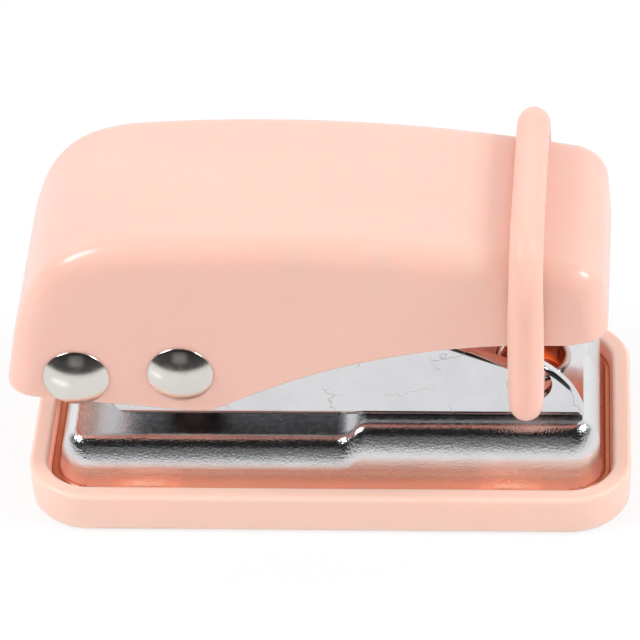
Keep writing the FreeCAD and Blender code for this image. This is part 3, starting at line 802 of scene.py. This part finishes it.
def platform_rows(inset, bottom, foot, side_x):
    """Rings from the flange over the foot of the skirt and the shoulder to the edge of the roof."""
    curve = shoulder_curve(inset)
    full_reach = shoulder_curve(0)[-1][0]
    end_reach, end_drop = curve[-1]
    low = bottom + foot

    def row(reach, height):
        """Ring at some reach from the roof's edge. height gives Z from the place along X."""
        corner = roof_corner + (skirt_corner - roof_corner) * reach / full_reach
        half_x = skirt_half_length - (full_reach - reach)
        half_y = skirt_half_width - (full_reach - reach)
        ring = rounded_ring(half_x, half_y, corner, 0, skirt_centre_x, side_x)
        return [Vector((p.x, p.y, height(p.x))) for p in ring]

    rows = [flange_ring(flange_edge, bottom, side_x)]
    for turn in quarter(6):
        rise = bottom + foot * (1 - cos(turn))
        rows.append(row(end_reach + skirt_lean + foot * (1 - sin(turn)), lambda x: rise))
    for n in range(1, 9):
        rise = low + (skirt_knee_z - low) * n / 8
        rows.append(row(end_reach + skirt_lean * (1 - n / 8) ** skirt_curve, lambda x: rise))
    for n in range(1, 6):
        rows.append(row(end_reach, lambda x: skirt_knee_z
                        + (roof_level(x, inset) - end_drop - skirt_knee_z) * n / 6))
    for reach, drop in reversed(curve):
        rows.append(row(reach, lambda x: roof_level(x, inset) - drop))
    return rows


def roof_fill(skin, ring, side_x):
    """Closes the roof inside its last ring: a grid between the corners and a flat face at each end."""
    corner = corner_steps + 1
    count = len(side_x)
    near_start = count + 3 * corner + end_steps - 1
    far = ring[corner:corner + count][::-1]
    near = ring[near_start:near_start + count]
    across = 24
    columns = [[front.lerp(back, n / across) for n in range(across + 1)] for front, back in zip(near, far)]
    skin.loft(columns, closed=False)
    skin.cap([far[0]] + ring[corner + count:near_start] + [near[0]] + columns[0][1:-1])
    rest = ring[near_start + count:] + ring[:corner]
    skin.cap([near[-1]] + rest + [far[-1]] + columns[-1][-2:0:-1])


def make_plate():
    side_x = plate_side_x()
    upper = platform_rows(0, flange_top, skirt_foot, side_x)
    lower = platform_rows(sheet, ledge_z, skirt_foot + sheet, side_x)
    edge = flange_edge
    rim = arc((edge, flange_top - edge), edge, 90, 180, 3) + arc((edge, ledge_z + edge), edge, 180, 270, 3)
    rings = upper[::-1] + [flange_ring(inset, z, side_x) for inset, z in rim] + lower
    skin = Skin()
    skin.loft(rings)
    roof_fill(skin, rings[0], side_x)
    roof_fill(skin, rings[-1], side_x)
    plate = build("base_plate_drawn", skin)
    drill_sheet(plate, skirt_knee_z, roof_high + 1)
    dress(plate, "frame", ["base_plate"], chrome_plate)


# Channel frame

def ear_outline(bottom, inset):
    """Side plate of the channel from the side, as (x, z) pairs. Its lower edge is at bottom, and the rest
    of its outline is moved in by inset."""
    pull = ear_root - pivot
    touch = degrees(atan2(pull.z, pull.x)) - degrees(acos(ear_radius / pull.length))
    touch_point = pivot + at(cos(radians(touch)), sin(radians(touch))) * ear_radius
    along = touch_point - ear_root
    low = ear_root + along * ((bottom - ear_root.z) / along.z)
    outline = [low.lerp(touch_point, n / 8) for n in range(8)]
    outline += [at(x, z) for x, z in arc((pivot.x, pivot.z), ear_radius, touch, -270, 40)]
    outline += [at(drive.x - ear_radius, roof_z), at(roof_end_x, roof_z), slope_end]
    chord = at(channel_rear, web_top) - nose_top
    outward = at(-chord.z, chord.x).normalized()
    for n in range(17):
        t = n / 16
        outline.append(nose_top + chord * t + outward * (4 * nose_bulge * t * (1 - t)))
    outline.append(at(channel_rear, bottom))
    moved = []
    for n, point in enumerate(outline):
        ahead = outline[min(n + 1, len(outline) - 1)] - outline[max(n - 1, 0)]
        moved.append(point + at(ahead.z, -ahead.x).normalized() * inset)
    moved[0].z = bottom
    moved[-1].z = bottom
    return [(p.x, p.z) for p in moved]


def across_bend(half_width, radius, depths):
    """Places across the channel with the rise of its lower edge there, as (y, rise) pairs."""
    made = []
    for depth in depths:
        short = max(radius - depth, 0)
        made.append((-half_width + depth, radius - sqrt(radius ** 2 - short ** 2)))
    return made + [(-y, rise) for y, rise in reversed(made)]


def roll_over(depth):
    """How far a sheet's cut edge is drawn in at some depth below the outer face."""
    short = max(channel_roll_over - depth, 0)
    return channel_roll_over - sqrt(channel_roll_over ** 2 - short ** 2)


def channel_body():
    """Block with the channel's outer faces: rounded lower edges and cut edges that roll over."""
    near = [channel_roll_over * (1 - cos(turn)) for turn in quarter(6)]
    depths = near + [channel_roll_over + (channel_bend - channel_roll_over) * n / 6 for n in range(1, 7)]
    return prism([(y, ear_outline(web_bottom + rise, roll_over(channel_half_width - abs(y))))
                  for y, rise in across_bend(channel_half_width, channel_bend, depths)])


def room_outline(right, low):
    """Oblong from well before the punch to right, and from low to well above the handle."""
    left = tray_low.x - 10
    ceiling = crest.z + 5
    return [(left, low), (right, low), (right, ceiling), (left, ceiling)]


def front_lip():
    """Curled end of the web: a bend and a short straight end."""
    centre = (web_front, web_top + lip_bend)
    outer = arc(centre, lip_bend + sheet, 270, 270 - lip_angle, 10)
    inner = arc(centre, lip_bend, 270 - lip_angle, 270, 10)
    turn = radians(180 - lip_angle)
    tip = [(u + lip_length * cos(turn), v + lip_length * sin(turn)) for u, v in (outer[-1], inner[0])]
    root = web_front + lip_overlap
    return slab(channel_inner - lip_side_gap, [(root, web_bottom)] + outer + tip + inner + [(root, web_top)])


def make_channel():
    channel = channel_body()
    bends = [channel_inner_bend * n / 4 for n in range(5)]
    room = prism([(y, room_outline(tray_high.x + 10, web_top + rise))
                  for y, rise in across_bend(channel_inner, channel_inner_bend, bends)])
    combine(channel, room, "DIFFERENCE")
    combine(channel, slab(channel_inner, room_outline(web_front, 0)), "DIFFERENCE")
    combine(channel, front_lip(), "UNION")
    soften_edges(channel, channel_edge)
    holes = [(pivot, rivet_radius + fit_clearance), (loop_hinge, bar_width / 2 + loop_hole_play)]
    for place, radius in holes:
        drill(channel, radius, place - Y * tray_half_width, place + Y * tray_half_width)
    drill_sheet(channel, web_bottom - 1, web_top + 1)
    channel.name = "channel_frame"
    dress(channel, "frame", ["frame_channel"], chrome_channel, 30)


# Eyelets, rivets and other turned pieces

def make_eyelet(node, x):
    """Tube with a rounded collar at both ends, below the plate's roof and on the channel's web."""
    barrel = eyelet_bore + eyelet_wall
    flange = barrel + eyelet_overhang
    middle = (eyelet_bore + flange) / 2
    half = (flange - eyelet_bore) / 2
    roof = web_bottom - sheet

    def collar(face, rise, start, end):
        base = face + rise * (1 - eyelet_crown / eyelet_flange)
        height = rise * eyelet_crown / eyelet_flange
        return [(middle + half * u, base + height * v) for u, v in arc((0, 0), 1, start, end, 16)]

    profile = [(barrel, roof), (flange, roof)] + collar(roof, -eyelet_flange, 0, 180)
    profile += collar(web_top, eyelet_flange, 180, 0) + [(flange, web_top), (barrel, web_top)]
    eyelet = turned(node.replace("eyelet", "rolled_eyelet"), profile, at(x, 0), Z, 96)
    dress(eyelet, "frame", [node], eyelet_nickel_with_painted_reflection, 50)


def make_rivet(name, node, place):
    """Domed head, shank and rolled tail in one piece. Heights run from the near cheek to the far one."""
    rise = head_rise - head_edge
    sphere = (head_radius ** 2 + rise ** 2) / (2 * rise)
    reach = asin((head_radius - head_edge_width) / sphere)
    face = -handle_half_width
    crown = face - head_rise
    steps = 18
    turns = [reach * n / steps for n in range(steps + 1)]
    dome = [(sphere * sin(turn), crown + sphere * (1 - cos(turn))) for turn in turns]
    last = dome[-1][1]
    edge = [(head_radius - 0.03, last + 0.07), (head_radius, last + 0.16), (head_radius, face - 0.03),
            (head_radius - 0.05, face)]
    tail_face = handle_half_width + washer_thickness
    end = tail_face + tail_rise
    tail = [(rivet_radius, face), (rivet_radius, tail_face), (tail_radius - 0.05, tail_face)]
    tail += arc((tail_radius - tail_roll, end - tail_roll), tail_roll, 0, 90, 6)
    tail += arc((tail_bore + tail_roll, end - tail_roll), tail_roll, 90, 180, 6)
    floor = end - tail_bore_depth
    tail += [(tail_bore, floor + 0.15), (tail_bore - 0.15, floor), (0, floor)]
    rivet = turned(name, dome + edge + tail, place, Y, 96, False)
    dress(rivet, "handle", [node], rivet_nickel, 50)


def ring_profile(inner, outer, low, high, edge):
    """Square section of a flat ring with small round edges."""
    corners = [(outer - edge, low + edge), (outer - edge, high - edge), (inner + edge, high - edge),
               (inner + edge, low + edge)]
    made = []
    for number, corner in enumerate(corners):
        made += arc(corner, edge, 90 * number - 90, 90 * number, 3)
    return made


def make_tail_washers():
    near = handle_half_width
    profile = ring_profile(rivet_radius, washer_radius, near, near + washer_thickness, 0.1)
    skin = Skin()
    for place in (pivot, drive):
        skin.lathe(profile, place, Y, wrap=True)
    dress(build("rivet_tail_washers", skin), "handle", ["tail_washers"], nickel, 50)


def make_spacer():
    half = channel_inner - fit_clearance
    profile = ring_profile(spacer_inner, spacer_outer, -half, half, 0.12)
    spacer = turned("pivot_spacer_tube", profile, pivot, Y)
    dress(spacer, "frame", ["pivot_spacer"], nickel, 50)


def make_pin():
    """Ground pin with a shallow hollow across its cutting end and a slot for the drive rivet."""
    top = pin_high.z
    tip = pin_low.z
    edge = 0.05
    profile = [(0, tip), (pin_radius - edge, tip), (pin_radius, tip + edge)]
    profile += [(pin_radius, top - pin_chamfer), (pin_radius - pin_chamfer, top), (0, top)]
    pin = turned("ground_punch_pin", profile, at(drive.x, 0), Z, 96, False)
    land = pin_radius - pin_land
    hollow = [(drive.x - land, tip), (drive.x, tip + pin_hollow), (drive.x + land, tip), (drive.x, tip - 1)]
    wide = pin_radius + 2
    combine(pin, slab(wide, hollow), "DIFFERENCE")
    half_height = rivet_radius + pin_slot_play
    slot = arc((drive.x + pin_slot_sweep, drive.z), half_height, -90, 90, 16)
    slot += arc((drive.x - pin_slot_sweep, drive.z), half_height, 90, 270, 16)
    combine(pin, slab(wide, slot), "DIFFERENCE")
    soften_edges(pin, edge, 2)
    dress(pin, "punch", ["punch_pin"], ground_steel, 40)


def make_spring_washer():
    profile = ring_profile(pin_radius + fit_clearance, spring_washer_radius,
                           spring_washer_top - spring_washer_thickness, spring_washer_top, 0.1)
    washer = turned("spring_seat_washer", profile, at(drive.x, 0), Z)
    dress(washer, "punch", ["spring_washer"], wire_steel, 50)


def carried(section, frames):
    """Rings of a section, given as (u, v) pairs, along frames of (point, u axis, v axis). The lengths of
    the axes stretch it."""
    return [[point + u_axis * u + v_axis * v for u, v in section] for point, u_axis, v_axis in frames]


def make_spring():
    low = web_top + coil_end_gap + wire_radius
    high = spring_washer_top - spring_washer_thickness - coil_end_gap - wire_radius
    steps = 160
    frames = []
    for n in range(steps + 1):
        turn = 2 * pi * coil_turns * n / steps
        outward = Vector((cos(turn), sin(turn), 0))
        climb = (high - low) / (2 * pi * coil_turns * coil_radius)
        along = Vector((-sin(turn), cos(turn), climb)).normalized()
        point = at(drive.x, low + (high - low) * n / steps) + outward * coil_radius
        frames.append((point, outward, along.cross(outward).normalized()))
    spring = lofted("coil_spring", carried(arc((0, 0), wire_radius, 0, 345, 23), frames))
    dress(spring, "frame", ["return_spring"], wire_steel, 60)


# Lock loop

def bar_section():
    """Half-round section: flat at +v, round at -v, with softened corners."""
    radius = bar_width / 2
    u = radius - 0.02 - bar_corner
    v = bar_thickness - radius - bar_corner
    corners = arc((-u, v), bar_corner, 180, 90, 5) + arc((u, v), bar_corner, 90, 0, 5)
    return corners + arc((0, 0), radius, 0, -180, 28)


def loop_path():
    """Middle line of the loop as (y, z) pairs, from one pin's end to the other's."""
    flat = bar_thickness - bar_width / 2
    leg = handle_half_width + loop_side_gap + flat
    pin_end = channel_inner - loop_pin_reach
    top_z = crown_z(loop_hinge.x) + loop_top_gap + flat
    foot = loop_foot_bend
    top = loop_top_bend
    low = loop_hinge.z
    rise = top_z - top - low - foot
    half = [(-pin_end, low), (-pin_end - loop_pin_straight, low)]
    half += arc((-leg + foot, low + foot), foot, 270, 180, 14)
    half += [(-leg, low + foot + rise * n / 8) for n in range(1, 8)]
    half += arc((-leg + top, top_z - top), top, 180, 90, 22)
    across = [(-leg + top + 2 * (leg - top) * n / 10, top_z) for n in range(1, 10)]
    return half + across + [(-y, z) for y, z in reversed(half)]


def make_loop():
    """Carries the section round the loop. It is a little narrower over the top, down the far leg and at
    both feet, and the whole loop stands slightly turned."""
    path = [Vector((0, y, z)) for y, z in loop_path()]
    frames = []
    turn = Matrix.Rotation(-loop_yaw, 3, "Z")
    handle_top = crown_z(loop_hinge.x)
    for n, point in enumerate(path):
        along = (path[min(n + 1, len(path) - 1)] - path[max(n - 1, 0)]).normalized()
        far = max(smooth(point.z, handle_top - 6, handle_top), smooth(point.y, -2, 4))
        foot = 1 - smooth(point.z, loop_hinge.z, loop_hinge.z + loop_taper_run)
        width = 1 - loop_taper_top * far - loop_taper_foot * foot
        frames.append((turn @ point + at(loop_hinge.x, 0), turn @ X * width, turn @ along.cross(X)))
    loop = lofted("lock_loop", carried(bar_section(), frames))
    dress(loop, "lock", ["lock_bail"], pink_loop, 60)


# Handle

def crown_z(x, inset=0.0):
    radius = crown_radius - inset
    return crest.z - crown_radius + sqrt(radius ** 2 - (x - crest.x) ** 2)


def lower_edge(x):
    """Height of the handle's lower edge: a line, a lobe round the rivets, an arch, then level."""
    lobe_centre = at(lobe_x, lobe_z + lobe_radius)
    drop = lobe_centre.z - arch_crest.z
    run = arch_crest.x - lobe_x
    arch_radius = (run ** 2 + drop ** 2 - lobe_radius ** 2) / (2 * (lobe_radius - drop))
    arch_centre = at(arch_crest.x, arch_crest.z - arch_radius)
    share = lobe_radius / (lobe_radius + arch_radius)
    meet_x = lobe_centre.x + (arch_centre.x - lobe_centre.x) * share
    slope = atan(lobe_line_slope)
    line_x = lobe_x + lobe_radius * sin(slope)
    line_z = lobe_centre.z - lobe_radius * cos(slope)
    if x < line_x:
        return line_z + lobe_line_slope * (x - line_x)
    if x < meet_x:
        return lobe_centre.z - sqrt(lobe_radius ** 2 - (x - lobe_x) ** 2)
    if x < arch_crest.x:
        return arch_centre.z + sqrt(arch_radius ** 2 - (x - arch_crest.x) ** 2)
    return arch_crest.z


def rim_radius(x):
    """Rounding of the handle's rim, larger at its two ends."""
    rear = 1 - smooth(x, handle_low.x + rim_blend[0], handle_low.x + rim_blend[1])
    front = smooth(x, handle_high.x - rim_blend[1], handle_high.x - rim_blend[0])
    return rim_round + (rim_round_rear - rim_round) * rear + (rim_round_front - rim_round) * front


def raised_edge(x):
    return lower_edge(x) + rim_radius(x)


def end_meets_edge(point, lean):
    """Where a leaning end line meets the raised lower edge, found by halving."""
    low, high = 0.0, crest.z
    for _ in range(50):
        middle = (low + high) / 2
        if middle < raised_edge(point.x + lean * (middle - point.z)):
            low = middle
        else:
            high = middle
    return at(point.x + lean * (low - point.z), low)


def front_corner(inset):
    """Centre of the rounding between the free end and the crown, and where it touches both."""
    direction = at(front_lean, 1).normalized()
    normal = at(-direction.z, direction.x)
    start = front_point + normal * front_round
    away = start - crown_centre
    reach = crown_radius - front_round
    along = away.dot(direction)
    centre = start + direction * (sqrt(along ** 2 - away.length_squared + reach ** 2) - along)
    touch_line = centre - normal * (front_round - inset)
    touch_crown = centre + (centre - crown_centre).normalized() * (front_round - inset)
    return centre, touch_line, touch_crown


def arc_between(centre, start, end, steps):
    """Points on the shorter arc between two points at one distance from a centre."""
    a = start - centre
    b = end - centre
    angle = a.angle(b)
    made = []
    for n in range(steps + 1):
        t = n / steps
        made.append(centre + (a * sin((1 - t) * angle) + b * sin(t * angle)) / sin(angle))
    return made


def rear_bend(inset):
    """Bend from the rear line to the crown, tighter near the crown, moved in by inset."""
    start = at(rear_point.x + rear_lean * (rear_bend_z - rear_point.z), rear_bend_z)
    end = at(crown_bend_x, crown_z(crown_bend_x))
    outward = (end - crown_centre).normalized()
    a = start + at(rear_lean, 1).normalized() * rear_bend_pull
    b = end - at(outward.z, -outward.x) * crown_bend_pull
    steps = 36
    made = []
    for n in range(steps + 1):
        t = n / steps
        point = start * (1 - t) ** 3 + a * (3 * t * (1 - t) ** 2) + b * (3 * t ** 2 * (1 - t)) + end * t ** 3
        along = (a - start) * (1 - t) ** 2 + (b - a) * (2 * t * (1 - t)) + (end - b) * t ** 2
        along.normalize()
        made.append(point + at(along.z, -along.x) * inset)
    return made


def handle_path(inset):
    """Outline of the handle from its rear rim over the crown to its front rim, moved in by inset."""
    rear = rear_bend(inset)
    centre, front_touch, front_top = front_corner(inset)
    rear_start = end_meets_edge(rear_point + at(1, -rear_lean).normalized() * inset, rear_lean)
    front_start = end_meets_edge(front_point + at(-1, front_lean).normalized() * inset, front_lean)
    made = [rear_start.lerp(rear[0], n / 12) for n in range(12)]
    made += rear[:-1]
    made += arc_between(crown_centre, rear[-1], front_top, 60)[:-1]
    made += arc_between(centre, front_top, front_touch, 14)[:-1]
    made += [front_touch.lerp(front_start, n / 14) for n in range(15)]
    return made


def skewed(point):
    """The free end isn't quite square: its far side reaches further than its near side."""
    weight = smooth(point.x, arch_crest.x, handle_high.x)
    return point + X * (front_skew * weight * point.y / handle_half_width)


def beside(path, y):
    """The path, given in the middle plane, moved to the place y across."""
    return [Vector((p.x, y, p.z)) for p in path]


def handle_skin(skin, inset):
    """One face of the shell, from cheek to cheek. Returns its open boundary as a ring."""
    flat_steps, edge_steps, cheek_rows = 12, 10, 14
    half = handle_half_width - inset
    radius = max(handle_edge - inset, 0.5)
    top = handle_path(inset)
    rows = [beside(top, (half - radius) * (-1 + 2 * n / flat_steps)) for n in range(flat_steps + 1)]
    outer = []
    for turn in quarter(edge_steps)[1:]:
        outer.append((handle_path(inset + radius * (1 - cos(turn))), half - radius + radius * sin(turn)))
    inner = handle_path(inset + radius)
    for n in range(1, cheek_rows + 1):
        drop = [at(p.x, p.z + (raised_edge(p.x) - p.z) * n / cheek_rows) for p in inner]
        outer.append((drop, half))
    for path, y in outer:
        rows = [beside(path, -y)] + rows + [beside(path, y)]
    rows = [[skewed(p) for p in row] for row in rows]
    skin.loft(rows, closed=False)
    ends = rows[1:-1]
    return rows[0] + [row[-1] for row in ends] + rows[-1][::-1] + [row[0] for row in reversed(ends)]


def rim_ring(starts, ends, radii, turn):
    """Ring on a rounding that leads from starts, in the rim's level, towards ends and down."""
    ring = []
    for start, end, radius in zip(starts, ends, radii):
        across = (end - start).normalized()
        ring.append(start + across * radius * (1 - cos(turn)) - Z * radius * sin(turn))
    return ring


def handle_rim(skin, outer, inner):
    """Rounded rim that joins the outer and the inner face."""
    turns = quarter(6)
    radii = [rim_radius(p.x) for p in outer]
    feet = [Vector((b.x, b.y, a.z)) for a, b in zip(outer, inner)]
    rings = [rim_ring(outer, feet, radii, turn) for turn in turns]
    rings += [rim_ring(feet, outer, radii, turn) for turn in turns[:0:-1]]
    skin.loft(rings + [inner])


def handle_ribs(skin):
    """Cross ribs under the crown."""
    side = handle_half_width - handle_wall / 2
    half = rib_thickness / 2
    edge = rib_edge
    for number in range(3):
        x = crest.x + rib_start + number * rib_pitch
        low = crown_z(x, handle_wall) - rib_depth
        high = crown_z(x, handle_wall / 2)
        outline = [(x - half, high), (x - half, low + edge), (x - half + edge, low), (x + half - edge, low),
                   (x + half, low + edge), (x + half, high)]
        skin.solid(slices([(-side, outline), (side, outline)]))


def handle_bosses(skin):
    """Four round bosses that keep the cheeks off the channel at the rivets."""
    face = channel_half_width + boss_gap
    depth = handle_half_width - handle_wall / 2 - face
    profile = [(0, 0), (boss_radius - boss_edge, 0), (boss_radius, boss_edge), (boss_radius, depth)]
    profile.append((0, depth))
    for place in (pivot, drive):
        for side in (-1, 1):
            skin.lathe(profile, place + Y * (side * face), Y * side)


def make_handle():
    skin = Skin()
    outer = handle_skin(skin, 0)
    skin.paint(1)
    inner = handle_skin(skin, handle_wall)
    skin.paint(0)
    handle_rim(skin, outer, inner)
    skin.paint(1)
    handle_ribs(skin)
    handle_bosses(skin)
    handle = build("handle_cover", skin)
    dress(handle, "handle", ["handle_shell"], (pink_handle, pink_handle_inside_painted_glow), 50)


# Table, light and camera

def make_floor():
    """White table, a hair under the tray. Polished metal sees it end in front of the punch, where the dark
    room begins, and sees a pair of small bright spots on it."""
    half = table_half
    mesh = bpy.data.meshes.new("floor")
    corners = [(x, y, table_level) for x, y in ((-half, -half), (half, -half), (half, half), (-half, half))]
    mesh.from_pydata(corners, [], [(0, 1, 2, 3)])
    floor = add_object("floor", mesh)
    material, tree, surface = new_material("white_table")
    plug(surface, Base_Color=(0.86, 0.86, 0.86, 1), Roughness=0.7, Specular_IOR_Level=0.0)
    near, far = table_end - table_end_blur, table_end + table_end_blur
    light = ramp(tree, here_parts(tree)[1], near, far, 0.05, 0.90)
    folded = vector_maths(tree, "ABSOLUTE", vector_maths(tree, "SUBTRACT", here(tree), hot_spot))
    away = vector_maths(tree, "DISTANCE", folded, (hot_spot_gap, 0, 0), output="Value")
    light = maths(tree, "ADD", light, ramp(tree, away, 0.008, 0.001, 0.0, 0.45))
    path = add_node(tree, "LightPath").outputs
    share = maths(tree, "MULTIPLY", path["Is Camera Ray"], 0.8)
    seen = mix_shader(tree, share, surface.outputs[0], white(tree, "Emission", 1.0))
    sharp = maths(tree, "MAXIMUM", path["Is Glossy Ray"], path["Is Transmission Ray"])
    output = next(n for n in tree.nodes if n.type == "OUTPUT_MATERIAL")
    plug(output, Surface=mix_shader(tree, sharp, seen, white(tree, "Emission", light)))
    mesh.materials.append(material)


def seen_rays(tree):
    """1 for camera, glossy and transmission rays."""
    path = add_node(tree, "LightPath").outputs
    either = maths(tree, "MAXIMUM", path["Is Camera Ray"], path["Is Glossy Ray"])
    return maths(tree, "MAXIMUM", either, path["Is Transmission Ray"])


def make_world():
    """White studio with a dark room in front and overhead and a faint streak in the dark, which only
    mirrors show. The limits are components of the unit direction, and forward is towards -Y."""
    world = bpy.data.worlds.new("studio")
    bpy.context.scene.world = world
    world.use_nodes = True
    tree = world.node_tree
    tree.nodes.clear()
    parts = add_node(tree, "SeparateXYZ", i0=add_node(tree, "TexCoord").outputs["Generated"]).outputs
    forward = maths(tree, "MULTIPLY", parts[1], -1.0)
    front = ramp(tree, forward, -0.5, -0.08)
    overhead = ramp(tree, parts[2], 0.72, 0.9)
    shade = maths(tree, "MAXIMUM", front, overhead)
    dark = ramp(tree, parts[2], 0.0, 0.4, 0.05, 0.008)
    aside = maths(tree, "ABSOLUTE", maths(tree, "ADD", parts[0], 0.06))
    streak = maths(tree, "MULTIPLY", ramp(tree, aside, 0.30, 0.12), ramp(tree, forward, 0.3, 0.7))
    streak = maths(tree, "MULTIPLY", streak, ramp(tree, parts[2], 0.42, 0.25))
    dark = maths(tree, "ADD", dark, maths(tree, "MULTIPLY", streak, 0.20))
    room = white(tree, "Background", mix_number(tree, shade, 1.0, dark))
    soft = white(tree, "Background", 0.69)
    add_node(tree, "OutputWorld", Surface=mix_shader(tree, seen_rays(tree), soft, room))


def softbox(name, place, size, power):
    """Area light that faces the punch. Its place is in metres."""
    data = bpy.data.lights.new(name, "AREA")
    data.shape = "RECTANGLE"
    data.size, data.size_y = size
    data.energy = power
    lamp = add_object(name, data)
    target = Vector((0, 0, 0.015))
    lamp.location = place
    lamp.rotation_mode = "QUATERNION"
    lamp.rotation_quaternion = (target - Vector(place)).to_track_quat("-Z", "Y")
    lamp.visible_camera = False


def make_lights():
    softbox("overhead", (0.0, 0.12, 0.6), (0.5, 0.4), 0.1)
    softbox("left", (-0.38, -0.10, 0.42), (0.14, 0.24), 1.35)
    softbox("right", (0.42, -0.07, 0.36), (0.12, 0.20), 1.22)


def make_camera():
    """Camera fitted to the photograph's 640 by 640 frame."""
    image_width = 640
    elevation, yaw, roll = (radians(a) for a in (38.5, 4.471, -2.521))
    focal_px = 4017.0
    distance = 399.29
    target = Vector((-0.956, 0, 15.708))
    ahead = Vector((-sin(yaw), cos(yaw), 0))
    forward = ahead * cos(elevation) - Z * sin(elevation)
    level = Vector((cos(yaw), sin(yaw), 0))
    upright = level.cross(forward)
    right = cos(roll) * level + sin(roll) * upright
    up = -sin(roll) * level + cos(roll) * upright
    data = bpy.data.cameras.new("camera")
    data.sensor_width = 36
    data.lens = data.sensor_width * focal_px / image_width
    data.clip_start = 0.01
    camera = add_object("camera", data)
    matrix = Matrix((right, up, -forward)).transposed().to_4x4()
    matrix.translation = (target - forward * distance) * MM
    camera.matrix_world = matrix
    bpy.context.scene.camera = camera


make_camera()
make_world()
make_lights()
make_floor()
make_tray()
make_plate()
make_channel()
for eyelet_node, eyelet_x in eyelet_places.items():
    make_eyelet(eyelet_node, eyelet_x)
make_rivet("pivot_rivet_domed", "pivot_rivet", pivot)
make_rivet("drive_rivet_domed", "drive_rivet", drive)
make_tail_washers()
make_spacer()
make_pin()
make_spring_washer()
make_spring()
make_loop()
make_handle()

bpy.context.scene.view_settings.view_transform = "Standard"
